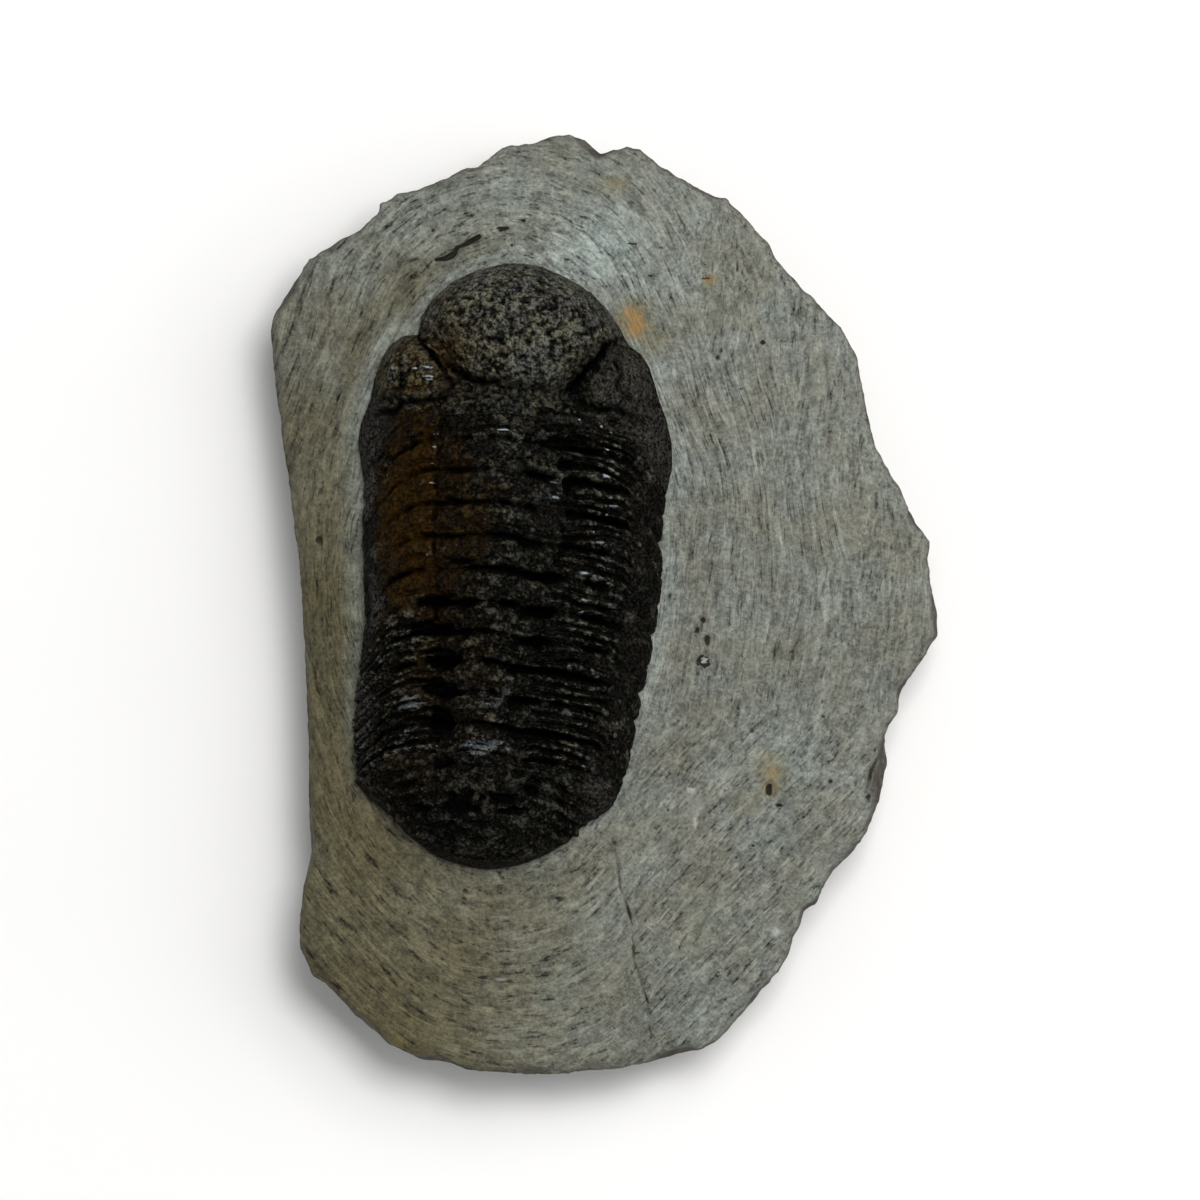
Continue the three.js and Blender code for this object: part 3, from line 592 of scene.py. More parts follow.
def polished_crests(number, s, place, ridges, points):
    """How polished the thin crests of the ribs are, and where painted highlights, as pale as a scale, stand
    for their glints. Both come in short streaks, and the painted glints stand by the right fulcrum, most of
    them on the front plates."""
    thin = np.clip(ridges / 0.5, 0, 1) ** 2
    streak = soft_step(-0.3, 0.35, banded(s * 34, number, 97, place * 9))
    right = (0.25 + 0.75 * soft_step(0.5, 0.6, s)) * short_of_flank(s)
    polish = np.where(s < 0, 0.08 + 0.4 * rearward(number), right) * streak * thin * (1 - over_axis(s))
    near_fulcrum = soft_step(0.46, 0.56, s) * soft_step(0.76, 0.66, s)
    # Painted highlights: pale glints on the crests near the right fulcrum.
    glints = thin * near_fulcrum * soft_step(-0.15, 0.4, clouds(points, 0.8, 59))
    return polish, streak * glints * (0.4 + 0.6 * soft_step(9, 5, number))


def thorax_plate(number):
    """One plate of the thorax, a grid across (s) and back (t), with its marks. The profiles of ring and
    pleurae raise the smooth plate along its normal, furrows and pits cut into it, and grains and unevenness
    come last."""
    s = even_places(THORAX_COLUMNS)[None, :]
    s, t = np.broadcast_arrays(s, np.linspace(0, 1, THORAX_ROWS)[:, None])
    aside, on_axis = np.abs(s), over_axis(s)
    x, y, z, v, joint_back = smooth_plate(number, s, t)
    points = np.stack([x, y, z], -1)
    wander = 0.14 * banded(s * 7, number, 11) + 0.06 * clouds(points, 1.7, 17)
    place = np.clip(t + wander * 4 * t * (1 - t), 0, 1)
    ridges = ring_and_ribs(number, s, place)
    furrow = joint_furrows(number, s, t)
    axial = axial_furrows(s, t, v, points)
    pits = pitted(x, y)
    scale_and_glint = scales_and_glints(x, y, joint_back)
    amber = amber_stain(x, y)
    wave, fine = rough(points, 1.5, 71), rough(points, 0.7, 77)
    bumps = grains(points, SMALL_GRAIN, 31) - GRAIN_LEVEL
    coarse = 0.12 + 0.1 * on_axis - 0.1 * amber * soft_step(0.4, 0.7, aside)
    uneven = coarse * (wave + 0.7 * bumps + 0.4 * fine)
    height = ridges - furrow - 0.8 * axial - pits + uneven + 0.12 * scale_and_glint
    x, y, z = raised(x, y, z, height * (1 - 0.5 * soft_step(0.97, 1, aside)))

    texture = soft_step(0.0, 0.5, 0.55 * bumps + 0.8 * fine + 0.35 * wave)
    amount, lip = pale_wear_and_highlights(number, s, t, place, ridges, wave, fine)
    polish, glints = polished_crests(number, s, place, ridges, points)
    # The painted glints join the pale scale colour.
    scale_and_glint = np.maximum(scale_and_glint, glints)
    # Painted reflection: a blue-grey sheen on the left flank, in patches.
    left_flank_sheen = 0.9 * soft_step(0.72, 0.84, -s + 0.05 * wave)
    left_flank_sheen = left_flank_sheen * soft_step(-0.25, 0.35, clouds(points, 3.0, 53))
    right_slate = 0.4 * soft_step(0.7, 0.85, s) * soft_step(0.0, 0.5, wave)
    marks = {
        "wear_and_highlight": np.clip(texture * amount + 0.4 * lip * (0.5 + fine), 0, 1),
        # deep is painted shade: it blackens the joint and axial furrows, the pits and the hollows between
        # ribs.
        "deep": np.clip(furrow + 1.1 * pits + 0.9 * axial + 1.3 * np.maximum(0, -ridges) - 0.15, 0, 1),
        "gloss": np.clip(polish + 0.25 * scale_and_glint, 0, 1),
        "amber": amber * (1 - 0.75 * soft_step(0.8, 0.9, aside)) * (1 - 0.65 * on_axis * (1 - texture)),
        "slate_and_sheen": np.maximum(left_flank_sheen * (1 - 0.4 * rearward(number)), right_slate),
        "scale_and_glint": scale_and_glint,
    }
    return x, y, z, marks


thorax = [thorax_plate(number) for number in range(1, len(JOINTS_V))]
for number, surface in enumerate(thorax, 1):
    plate(f"thorax_segment_{number:02d}", *surface)


# The cephalon
# The head shield: one plate of the same black calcite, with the swollen glabella in front, an eye and a
# cheek on each side, and the occipital ring along its joint. It is covered in tubercles, and the furrows
# round the glabella and the eyes were picked clean.

# The free margin as place across, u and v. The glabella meets the eyes in notches at -0.5 and 0.5.
HEAD_FRONT = np.array([
    (-1, -18.3, 14.0), (-0.93, -18.1, 16.4), (-0.86, -17.2, 19.4), (-0.79, -16.9, 21.9),
    (-0.72, -16.3, 24.4), (-0.64, -15.2, 26.4), (-0.56, -13.6, 27.7), (-0.5, -11.9, 27.9),
    (-0.44, -11.8, 30.0), (-0.37, -10.7, 32.3), (-0.28, -8.2, 34.9), (-0.18, -5.2, 36.6),
    (-0.08, -1.8, 37.7), (0, 0.6, 37.9), (0.08, 2.8, 37.6), (0.18, 6.0, 36.5), (0.28, 9.1, 34.9),
    (0.37, 11.5, 32.8), (0.44, 13.1, 30.7), (0.5, 14.3, 28.9), (0.56, 16.0, 27.7), (0.64, 17.1, 26.3),
    (0.72, 17.9, 24.4), (0.79, 18.8, 22.1), (0.86, 19.8, 19.9), (0.93, 20.7, 17.0), (1, 21.0, 14.2),
])
HEAD_LEFT_MARGIN = [(30, -11), (27.4, -14.2), (24.1, -16.5), (20, -17.1), (14, -18.3), (9.9, -17.2)]
HEAD_RIGHT_MARGIN = [(30, 13.4), (26.5, 17.0), (23.6, 18.2), (20.5, 19.6), (14, 21.0), (11.4, 20.6)]
CHEEK_Z = 29.2
GLABELLA = {
    "u": 0.8, "v": 29.3, "half_width": 12.7, "neck": 7.4, "reach": 8.7, "neck_v": 21.5,
    "crest_v": 31, "crest_z": 35.0, "fall": 0.035,
}
# Low ground between glabella and eyes that is raised: u, v, radius and height.
SADDLES = [(-9.7, 25.4, 1.8, 1.5), (10.3, 26.2, 2.1, 2.6)]
EYES = [
    {"u": -12.6, "v": 23.2, "half_width": 4.1, "half_length": 4.6, "rise": 3.2},
    {"u": 12.7, "v": 23.6, "half_width": 4.5, "half_length": 4.9, "rise": 3.4},
]

# Furrows of the head: half width, depth, and the points on the slab that they run through.
HEAD_FURROWS = [
    (0.38, 1.7, [(-23.2, 33.5), (-22.2, 32.0), (-21.1, 30.6), (-20.0, 29.4)]),
    (0.5, 0.8, [(-20.3, 29.9), (-19.7, 28.4), (-19.1, 27.1), (-18.7, 26.1)]),
    (0.5, 1.3, [(-19.8, 30.4), (-18.3, 29.1), (-16.8, 28.0), (-14.7, 27.5), (-12.4, 28.0)]),
    (0.4, 0.25, [(-19.1, 27.1), (-18.3, 25.9), (-17.1, 26.6)]),
    (0.42, 1.9, [(1.9, 33.2), (1.0, 32.6), (-0.1, 31.9), (-0.9, 30.6), (-2.6, 28.9), (-3.8, 27.4),
                 (-4.8, 26.0)]),
    (0.35, 0.9, [(-25.3, 31.9), (-25.2, 30.4), (-25.3, 28.6), (-25.4, 27.1), (-26.2, 26.1), (-27.3, 25.6)]),
    (0.45, 1.2, [(-27.8, 25.5), (-25.9, 25.9), (-25.1, 25.1), (-23.1, 25.4), (-21.1, 25.4), (-19.1, 26.1)]),
    (0.5, 1.2, [(-28.8, 23.2), (-27.4, 23.8), (-26.1, 24.2), (-24.9, 24.9), (-23.1, 25.4)]),
    (0.4, 0.9, [(1.8, 31.6), (1.4, 29.9), (2.1, 28.5), (1.6, 27.4), (2.2, 26.4), (3.4, 25.4)]),
    (0.5, 1.2, [(-4.1, 25.6), (-2.4, 24.6), (-0.8, 24.1), (0.9, 24.1), (2.2, 23.9), (3.7, 23.1)]),
    (0.4, 0.8, [(-5.6, 25.6), (-3.7, 24.2), (-1.6, 22.6), (0.2, 20.9), (0.9, 19.9)]),
    (0.35, 0.8, [(-7.9, 41.9), (-8.1, 40.8), (-7.7, 39.6), (-8.6, 38.6)]),
    (0.3, 0.5, [(-12.3, 36.1), (-11.4, 34.9), (-10.3, 33.6), (-9.6, 32.4)]),
    (0.4, 0.8, [(-2.7, 33.6), (-1.6, 34.0), (-0.4, 34.5)]),
    (0.35, 0.7, [(-21.1, 37.4), (-20.1, 37.8)]),
    (0.55, 1.2, [(-17.6, 23.4), (-15.5, 23.0), (-12.0, 23.1), (-9.0, 22.8), (-6.5, 23.0), (-4.4, 22.2)]),
]
HEAD_COLUMNS, HEAD_ROWS = 430, 218
CROWDING = 1.7  # over 1, the rows of the mesh crowd towards the free margin
CHEEK_FADE = (27.5, 30.5)  # the cheeks end between these places along the shell
CHEEK_BEND = {"left": (5, 0.45), "right": (2.4, 0.66)}  # fullness and steepness of the domes
SWOLLEN, EYE_DOME = (3, 0.5), (2.6, 0.85)
HEAD_SWEEP = {"from_u": 8, "over_u": 9, "back": 8}  # the relief along the joint bends back beside the axis
HEAD_ROUNDING = 1.5  # within this distance of the free margin the head is rounded off
NECK_SEAM = 1.0  # over this distance the head takes up the first plate's height

# The ridge and the furrow along the joint: how far ahead of it, half width and height.
OCCIPITAL_RELIEF = [(1.6, 1.1, 1.6), (3.6, 0.7, -1.0)]
BORDER_RELIEF = [(1.3, 0.8, 0.7), (3.2, 0.8, -0.8)]


def dome(distance, fullness, steepness):
    """A dome's height from 1 in its middle to 0 at distance 1: (1 - distance^fullness)^steepness."""
    return (1 - np.clip(distance, 0, 1) ** fullness) ** steepness


def stretched(margin, columns, rows, joint_v, crowding):
    """A grid of straight columns from the joint (share 0) to a free margin (share 1), as s, u, v and share.
    The columns are even along the margin and the joint together, and the rows crowd towards the margin."""
    s = np.linspace(-1, 1, 1501)
    margin_u, margin_v = [np.interp(s, margin[:, 0], margin[:, k]) for k in (1, 2)]
    joint_u, joint_back = joint_line(joint_v, s)
    run = sum(np.hypot(np.diff(a), np.diff(b)) for a, b in ((margin_u, margin_v), (joint_u, joint_back)))
    run = np.concatenate([[0], np.cumsum(run + 1e-6)])
    s = np.interp(np.linspace(0, run[-1], columns), run, s)[None, :]
    free_edge = [np.interp(s, margin[:, 0], margin[:, k]) for k in (1, 2)]
    share = 1 - (1 - np.linspace(0, 1, rows)[:, None]) ** crowding
    u, v = [between(ends, share) for ends in zip(joint_line(joint_v, s), free_edge)]
    s, share = np.broadcast_arrays(s, share)
    return s, u, v, share


def from_eye(eye, u, v):
    """The distance from an eye's middle, which is 1 at the eye's rim."""
    return np.hypot((u - eye["u"]) / eye["half_width"], (v - eye["v"]) / eye["half_length"])


def over_ring(u):
    """1 over the occipital ring and 0 beside it."""
    return soft_step(9.5, 7.5, np.abs(u))


def along_joint(relief, from_joint):
    """A ridge and a furrow that run along the joint, as bell curves."""
    return sum(height * swell(from_joint - ahead, half_width) for ahead, half_width, height in relief)


def head_height(u, v):
    """The head's height: the higher of the flat cheeks, which bend down to the margin, and the swollen
    glabella, with a dome for each eye, a bell curve in each low place between them, and the relief along
    the joint."""
    half = np.where(u < 0, -read(HEAD_LEFT_MARGIN, v), read(HEAD_RIGHT_MARGIN, v))
    aside = np.abs(u) / half
    bend = np.where(u < 0, dome(aside, *CHEEK_BEND["left"]), dome(aside, *CHEEK_BEND["right"]))
    cheek = (CHEEK_Z - LIP_Z) * bend * (1 - soft_step(*CHEEK_FADE, v))
    widening = soft_step(GLABELLA["neck_v"], GLABELLA["v"], v)
    half = between((GLABELLA["neck"], GLABELLA["half_width"]), widening)
    ahead = np.maximum(0, v - GLABELLA["v"]) / GLABELLA["reach"]
    crest = GLABELLA["crest_z"] - GLABELLA["fall"] * (v - GLABELLA["crest_v"]) ** 2 - LIP_Z
    z = np.maximum(cheek, crest * dome(np.hypot((u - GLABELLA["u"]) / half, ahead), *SWOLLEN))
    for eye in EYES:
        z = z + eye["rise"] * dome(from_eye(eye, u, v), *EYE_DOME)
    for saddle_u, saddle_v, radius, rise in SADDLES:
        z = z + rise * swell(np.hypot(u - saddle_u, v - saddle_v), radius) * soft_step(9.2, 7.0, z)
    bend = (np.maximum(0, np.abs(u) - HEAD_SWEEP["from_u"]) / HEAD_SWEEP["over_u"]) ** 2
    from_joint = v - JOINTS_V[0] + HEAD_SWEEP["back"] * bend
    z = z + over_ring(u) * along_joint(OCCIPITAL_RELIEF, from_joint)
    z = z + (1 - over_ring(u)) * along_joint(BORDER_RELIEF, from_joint)
    return LIP_Z + np.maximum(z, 0)


def rounded(z, u, v, margin, radius):
    """Rounds heights off towards a free margin: within a radius of it they are scaled by a quarter
    circle."""
    distance = from_path(u, v, margin[:, 1:])[0]
    return LIP_Z + (z - LIP_Z) * np.sqrt(1 - (1 - np.clip(distance / radius, 0, 1)) ** 2)


def joined(z, s, from_joint, joint_v, reach_over):
    """Heights that start from the joint's own height and reach those given a little way off, on an S
    curve."""
    return between((section(s, joint_v)[1], z), soft_step(0, reach_over, from_joint))


def picked_furrows(x, y, points):
    """How deep the furrows round the glabella and the eyes are: bell curves across wavering lines, which
    are shallower towards their ends."""
    wave, stray = clouds(points, 1.0, 113), clouds(points, 1.2, 117)
    cut = np.zeros_like(x)
    for half_width, depth, path in HEAD_FURROWS:
        distance, along = from_path(x + 0.3 * wave, y + 0.3 * stray, path)
        ends = 0.3 + 0.7 * np.sin(np.pi * np.clip(along, 0.02, 0.98)) ** 0.35
        cut = np.maximum(cut, depth * ends * swell(distance + 0.25 * wave * half_width, half_width))
    return cut


def head_plate():
    """The head shield with its marks. Grains and holes, strongest on the glabella, the eyes and the ring,
    raise it along its normal, and the picked furrows cut straight down into it."""
    s, u, v, share = stretched(HEAD_FRONT, HEAD_COLUMNS, HEAD_ROWS, JOINTS_V[0], CROWDING)
    x, y = on_slab(u, v)
    off_joint = v - joint_line(JOINTS_V[0], s)[1]
    z = rounded(head_height(u, v), u, v, HEAD_FRONT, HEAD_ROUNDING)
    z = joined(z, s, off_joint, JOINTS_V[0], NECK_SEAM)
    points = np.stack([x, y, z], -1)
    cut = picked_furrows(x, y, points)
    on_left_eye, on_right_eye = [soft_step(1.25, 0.9, from_eye(eye, u, v)) for eye in EYES]
    on_glabella = soft_step(22.0, 24.0, v) * (1 - np.maximum(on_left_eye, on_right_eye))
    on_glabella = on_glabella * soft_step(14.5, 12.8, np.abs(u - GLABELLA["u"]))
    on_ring = over_ring(u) * soft_step(23.5, 22.5, v)
    parts = [on_glabella, on_left_eye, on_right_eye, on_ring, 0.6 * soft_step(17, 22, v)]
    granular = np.maximum(np.maximum.reduce(parts), 0.25)
    bumps = 0.5 * (grains(points, LARGE_GRAIN, 131) - GRAIN_LEVEL)
    bumps = bumps + 0.5 * (grains(points, 0.46, 151) - GRAIN_LEVEL)
    fine, wave = rough(points, 0.55, 177), rough(points, 1.9, 191)
    holes = soft_step(0.2, 0.55, rough(points, 0.62, 199, 2))
    # Pale scales, and painted glints on the eyes and the border: pale colour in place of highlights.
    scale_and_glint = scales_and_glints(x, y, 0)
    height = granular * (0.24 * bumps + 0.16 * fine + 0.2 * wave - 0.22 * holes)
    height = height - joint_depth(0, s) * np.clip(1 - off_joint / JOINT_REACH, 0, 1) ** 2
    height = height * (1 - 0.6 * soft_step(0.985, 1, share)) + 0.1 * scale_and_glint

    amber = 0.9 * amber_stain(x, y) * soft_step(8, 10, -u)
    amber = np.maximum(amber, 0.75 * swell(np.hypot((x + 19.6) / 3.0, (y - 31.0) / 4.5), 1.0))
    amber = np.maximum(amber, on_left_eye * (0.2 + 0.4 * soft_step(-0.3, 0.3, clouds(points, 1.4, 201))))
    # Painted reflection: the blue-grey sheen along the head's left flank.
    left_flank_sheen = 0.6 * soft_step(14.2, 16.2, -u) * (1 - on_left_eye) * (1 - amber)
    right_slate = soft_step(8, 13, u) * (0.35 + 0.3 * wave) * soft_step(29, 26, v)
    front_slate = 0.45 * soft_step(0.9, 0.97, share) * on_glabella * soft_step(4, 9, u)
    texture = soft_step(-0.35, 0.3, 0.6 * bumps + 0.6 * fine + 0.1 * wave)
    amount = 0.08 + 0.9 * on_glabella * (0.88 + 0.16 * wave) * (1 - 0.3 * soft_step(2, 10, u))
    amount = np.maximum.reduce([amount, 0.75 * on_left_eye, 0.32 * on_right_eye, 0.36 * on_ring])
    amount = amount * (1 - 0.45 * soft_step(24.5, 22.5, v) * on_glabella)
    marks = {
        "wear_and_highlight": np.clip(texture * amount, 0, 1),
        # deep is painted shade in the picked furrows and in the holes between the grains.
        "deep": np.clip(0.9 * cut + 0.75 * holes * granular - 0.1, 0, 1),
        "amber": amber,
        "slate_and_sheen": np.maximum.reduce([left_flank_sheen, right_slate, front_slate]),
        "scale_and_glint": scale_and_glint,
        "gloss": 0.3 * scale_and_glint,
    }
    x, y, z = raised(x, y, z, height)
    return x, y, z - cut, marks


head = head_plate()
plate("cephalon", *head)


# The pygidium
# The tail shield: one plate of the same black calcite, a low dome whose axis and sides carry the last rings
# and ribs of the body, grown together. They fade towards a smooth border round the back.

TAIL_BACK = np.array([
    (-1, -13.9, -29.6), (-0.93, -12.4, -30.7), (-0.84, -10.6, -32.0), (-0.76, -9.2, -33.3),
    (-0.7, -8.2, -34.3), (-0.55, -6.1, -35.7), (-0.44, -4.2, -36.7), (-0.33, -2.3, -37.3),
    (-0.18, -0.1, -37.7), (0, 2.0, -37.8), (0.18, 4.1, -37.5), (0.33, 6.1, -36.9), (0.44, 7.9, -36.1),
    (0.55, 9.6, -35.2), (0.7, 11.8, -33.6), (0.76, 12.8, -32.6), (0.84, 13.8, -31.2),
    (0.93, 15.4, -30.1), (1, 16.6, -29.2),
])
TAIL_COLUMNS, TAIL_ROWS = 380, 150
TAIL_ROUNDING, TAIL_SEAM, TAIL_CROWDING = 1.2, 1.2, 1.35
TAIL_DOME = (2.8, 0.6)
TAIL = {"u": 1.2, "v": -24, "left": 16.4, "right": 17.6, "length": 14.2, "rise": 7.6}
TAIL_AXIS = {"half_width": 5.2, "rise": 2.2}
TAIL_RIBS = {"spacing": 1.75, "height": 0.34, "sweep": 5.2, "sweep_u": 16.5}
TAIL_PITS = [
    (-20.5, -19.4, 1.6, 0.7, 1.0), (-18.0, -24.6, 2.4, 1.6, 1.0), (-20.6, -28.4, 3.2, 1.3, 0.8),
    (-12.4, -24.0, 1.6, 0.7, 0.9), (-9.0, -22.4, 1.1, 0.9, 0.9), (-23.6, -25.0, 1.6, 0.9, 0.7),
    (-11.0, -25.6, 2.2, 0.45, 0.8), (-15.5, -27.2, 2.4, 0.4, 0.6), (-15.8, -29.2, 1.8, 0.35, 0.6),
]


def tail_plate():
    """The tail shield with its marks: a dome with a bell curve for its axis. Ribs, which are a cosine of
    the distance from a joint swept back, and grains raise it along its normal, and furrows and pits cut
    into it."""
    s, u, v, share = stretched(TAIL_BACK, TAIL_COLUMNS, TAIL_ROWS, JOINTS_V[-1], TAIL_CROWDING)
    x, y = on_slab(u, v)
    across = (u - TAIL["u"]) / np.where(u < TAIL["u"], TAIL["left"], TAIL["right"])
    r = np.clip(np.hypot(across, np.minimum(0, v - TAIL["v"]) / TAIL["length"]), 0, 1)
    z = LIP_Z + TAIL["rise"] * dome(r, *TAIL_DOME)
    z = z + TAIL_AXIS["rise"] * swell(u, TAIL_AXIS["half_width"]) * np.maximum(0, 1 - r ** 4)
    off_joint = joint_line(JOINTS_V[-1], s)[1] - v
    z = joined(rounded(z, u, v, TAIL_BACK, TAIL_ROUNDING), s, off_joint, JOINTS_V[-1], TAIL_SEAM)
    points = np.stack([x, y, z], -1)
    wave, fine = rough(points, 1.6, 311), rough(points, 0.7, 377)
    bumps = grains(points, SMALL_GRAIN, 331) - GRAIN_LEVEL
    border = soft_step(0.86, 0.95, r + 0.02 * wave)
    ribs_back = JOINTS_V[-1] - v - TAIL_RIBS["sweep"] * (np.abs(u) / TAIL_RIBS["sweep_u"]) ** 2.2
    ribs = np.cos((ribs_back / TAIL_RIBS["spacing"] + 0.22 * wave) * 2 * np.pi - 1.2)
    ribs = ribs * soft_step(0.0, 1.0, ribs_back) * soft_step(12.5, 7.0, ribs_back) * (1 - border)
    ribs = ribs * (0.5 + 0.7 * clouds(points, 1.8, 341)) * (1 + 0.6 * soft_step(5, 9, np.abs(u)))
    pits = ellipses(x, y, TAIL_PITS, 0.6, 351)
    axial = 0.35 * swell(np.abs(u - 0.6) - 5.4 + 0.2 * ribs_back + 0.5 * wave, 0.5)
    axial = axial * (1 - border) * soft_step(-0.2, 0.4, wave)
    scale_and_glint = scales_and_glints(x, y, 0)
    height = TAIL_RIBS["height"] * ribs - axial - 1.1 * pits
    height = height + (1 - 0.7 * border) * (0.2 * wave + 0.12 * bumps + 0.07 * fine) + 0.1 * scale_and_glint
    near_joint = np.clip(1 - off_joint / JOINT_REACH, 0, 1) ** 2
    height = height - 0.4 * near_joint * joint_depth(len(JOINTS_V) - 1, s)
    height = height * (1 - 0.6 * soft_step(0.985, 1, share))
    x, y, z = raised(x, y, z, height)

    texture = soft_step(0.0, 0.5, 0.5 * bumps + 0.7 * fine + 0.5 * wave + 0.16 * ribs)
    marks = {
        "wear_and_highlight": np.clip(texture * (0.21 - 0.1 * border), 0, 1),
        # deep is painted shade in the pits, between the ribs and in the axial furrows.
        "deep": np.clip(1.1 * pits + 0.6 * np.clip(-ribs, 0, 1) + axial - 0.15, 0, 1),
        "amber": 0.36 * swell(np.hypot((x + 26.0) / 5, (y + 19) / 6), 1.0) * soft_step(-0.4, 0.3, wave),
        "slate_and_sheen": np.maximum(0.3 * border, 0.4 * soft_step(12.5, 15, u)),
        "scale_and_glint": scale_and_glint,
        "gloss": 0.3 * scale_and_glint,
    }
    return x, y, z, marks


tail = tail_plate()
plate("pygidium", *tail)


# The matrix
# The slab of grey limestone that hardened round the shell: broken at its edges, flat underneath, and
# scraped down with a hand-held scribe, whose strokes swirl round the shell. The shell still sits in its bed.

RIM_Z = 20.3  # stone surface where it meets the shell
BED_Z = 18.5
SLAB_EDGE = np.array([
    (-41.8, 34.4), (-41.3, 36.6), (-39.2, 40.0), (-36.9, 43.3), (-33.2, 45.6), (-30.6, 47.1),
    (-29.1, 48.6), (-28.2, 49.2), (-28.1, 50.2), (-25.7, 51.6), (-23.4, 52.1), (-20.6, 53.1),
    (-17.2, 54.8), (-15.8, 54.9), (-12.9, 57.2), (-11.6, 57.6), (-9.2, 57.8), (-5.8, 58.9),
    (-4.2, 58.9), (-2.6, 58.4), (-0.5, 56.6), (1.3, 57.1), (2.8, 57.4), (4.5, 57.0),
    (6.9, 55.1), (10.5, 52.9), (13.8, 51.2), (15.4, 50.9), (16.8, 49.4), (18.1, 48.0),
    (20.6, 45.2), (21.3, 43.8), (22.7, 41.9), (25.9, 38.8), (29.6, 34.8), (31.8, 30.9),
    (32.1, 28.6), (33.4, 22.1), (34.2, 19.6), (36.2, 15.8), (37.2, 14.6), (39.1, 10.2),
    (40.8, 7.9), (40.6, 6.1), (40.8, 3.3), (41.8, -1.3), (41.8, -3.8), (41.0, -5.2),
    (37.9, -9.6), (37.0, -11.5), (36.7, -13.6), (35.6, -15.1), (35.2, -16.6), (35.5, -20.0),
    (35.1, -21.8), (34.4, -24.9), (32.9, -28.4), (31.4, -30.6), (28.9, -33.2), (27.6, -34.9),
    (26.6, -37.4), (25.1, -38.5), (24.7, -39.9), (23.6, -41.7), (23.3, -43.4), (22.4, -45.2),
    (19.1, -49.2), (16.1, -52.6), (13.9, -54.8), (12.1, -55.8), (9.2, -56.4), (6.5, -57.2),
    (2.8, -57.9), (-5.8, -58.8), (-9.5, -58.9), (-17.2, -58.2), (-19.0, -57.4), (-23.1, -56.9),
    (-27.1, -54.9), (-28.2, -53.8), (-31.1, -51.6), (-33.5, -48.8), (-34.9, -47.4), (-36.6, -46.4),
    (-38.1, -43.1), (-38.2, -40.0), (-37.7, -35.5), (-36.7, -31.1), (-37.0, -26.1), (-37.0, -20.0),
    (-37.4, -9.2), (-38.0, 2.1), (-38.8, 9.6), (-39.8, 17.0), (-40.9, 25.0), (-41.6, 31.4),
])
WALL_INSETS = [(0, 1.6), (0.2, 0.9), (0.48, 0.5), (0.76, 0.3), (1, 0.0)]
STONE_RAYS, STONE_RINGS, WALL_RINGS = 770, 98, 26
SLAB_MIDDLE = np.array([SHELL_ORIGIN[0] + 1, SHELL_ORIGIN[1]])  # the mesh's rings run round this point
BED_OVERLAP = 0.25  # how far the stone reaches in under the shell's margin
EDGE_Z = {"left": 17.2, "drop": 1.4, "from_x": -20, "to_x": 40}  # the top's height along the broken edge
TOP_FULLNESS = 1.7  # over 1, the top bulges between its edge and the shell
DARK_REACH = 0.6  # how far from a crack or a speck the stone is darkened

# The scribe's path goes round an ellipse about the shell. Its pattern closes on itself after PATH_LENGTH.
PATH_HALF_WIDTH, PATH_HALF_LENGTH, PATH_SPREAD = 20.0, 34.0, 26
PATH_LENGTH, PATH_SHARE = 180.0, 0.19

# Straight strokes cross the stone to the right: the angles of their directions to X.
STROKE_TURNS = {"diagonal": 0.8, "upright": 1.45, "leaning": 2.3}
STREAK_TURNS = {"diagonal": 0.8, "upright": 1.42}
STREAK_STRETCH = 7

# Facets where the edge broke away: x, y, half length along the edge, width and depth.
CHIPS = [
    (34.6, -21.6, 3.6, 1.7, 3.4), (34.0, -26.6, 1.2, 0.9, 2.4), (41.6, -1.4, 3.4, 0.9, 3.0),
    (38.2, 10.6, 1.2, 0.7, 2.0), (8.6, -56.2, 3.2, 0.9, 2.6), (18.6, -49.4, 1.2, 0.8, 2.4),
    (-1.6, 57.3, 1.2, 1.4, 2.6), (-40.0, 39.2, 2.6, 0.9, 2.4), (25.4, -38.2, 1.8, 0.8, 2.2),
    (31.0, -31.0, 1.4, 0.7, 1.8), (-37.4, -30.0, 4.5, 0.6, 2.0), (-9.0, -58.6, 1.6, 0.7, 2.0),
    (12.0, 52.4, 1.6, 0.5, 1.6), (-22.0, -57.0, 2.6, 0.7, 2.0), (-31.0, -51.4, 3.0, 0.6, 2.0),
    (37.4, -10.4, 1.4, 0.6, 1.6),
]

# Cracks and cuts in the top: half width, depth and the points that they run through.
CRACKS = [
    (0.3, 0.9, [(-21.0, 43.1), (-19.8, 43.2), (-18.7, 43.9), (-18.4, 44.6), (-17.2, 45.1), (-15.6, 46.0)]),
    (0.28, 0.4, [(-25.6, 42.5), (-24.7, 42.8), (-23.4, 43.2)]),
    (0.16, 0.35, [(0.9, -29.1), (1.8, -33.1), (1.9, -35.0), (2.6, -36.9), (3.4, -39.4), (3.7, -44.4),
                  (5.4, -49.4), (5.8, -54.4)]),
    (0.2, 0.34, [(15.9, -42.9), (18.4, -41.9), (20.9, -40.8)]),
    (0.25, 0.5, [(34.7, -18.3), (33.4, -20.6), (33.0, -23.2), (33.1, -24.5)]),
    (0.12, 0.2, [(-36.6, 39.1), (-34.4, 40.4), (-32.4, 41.2), (-28.1, 42.9)]),
]

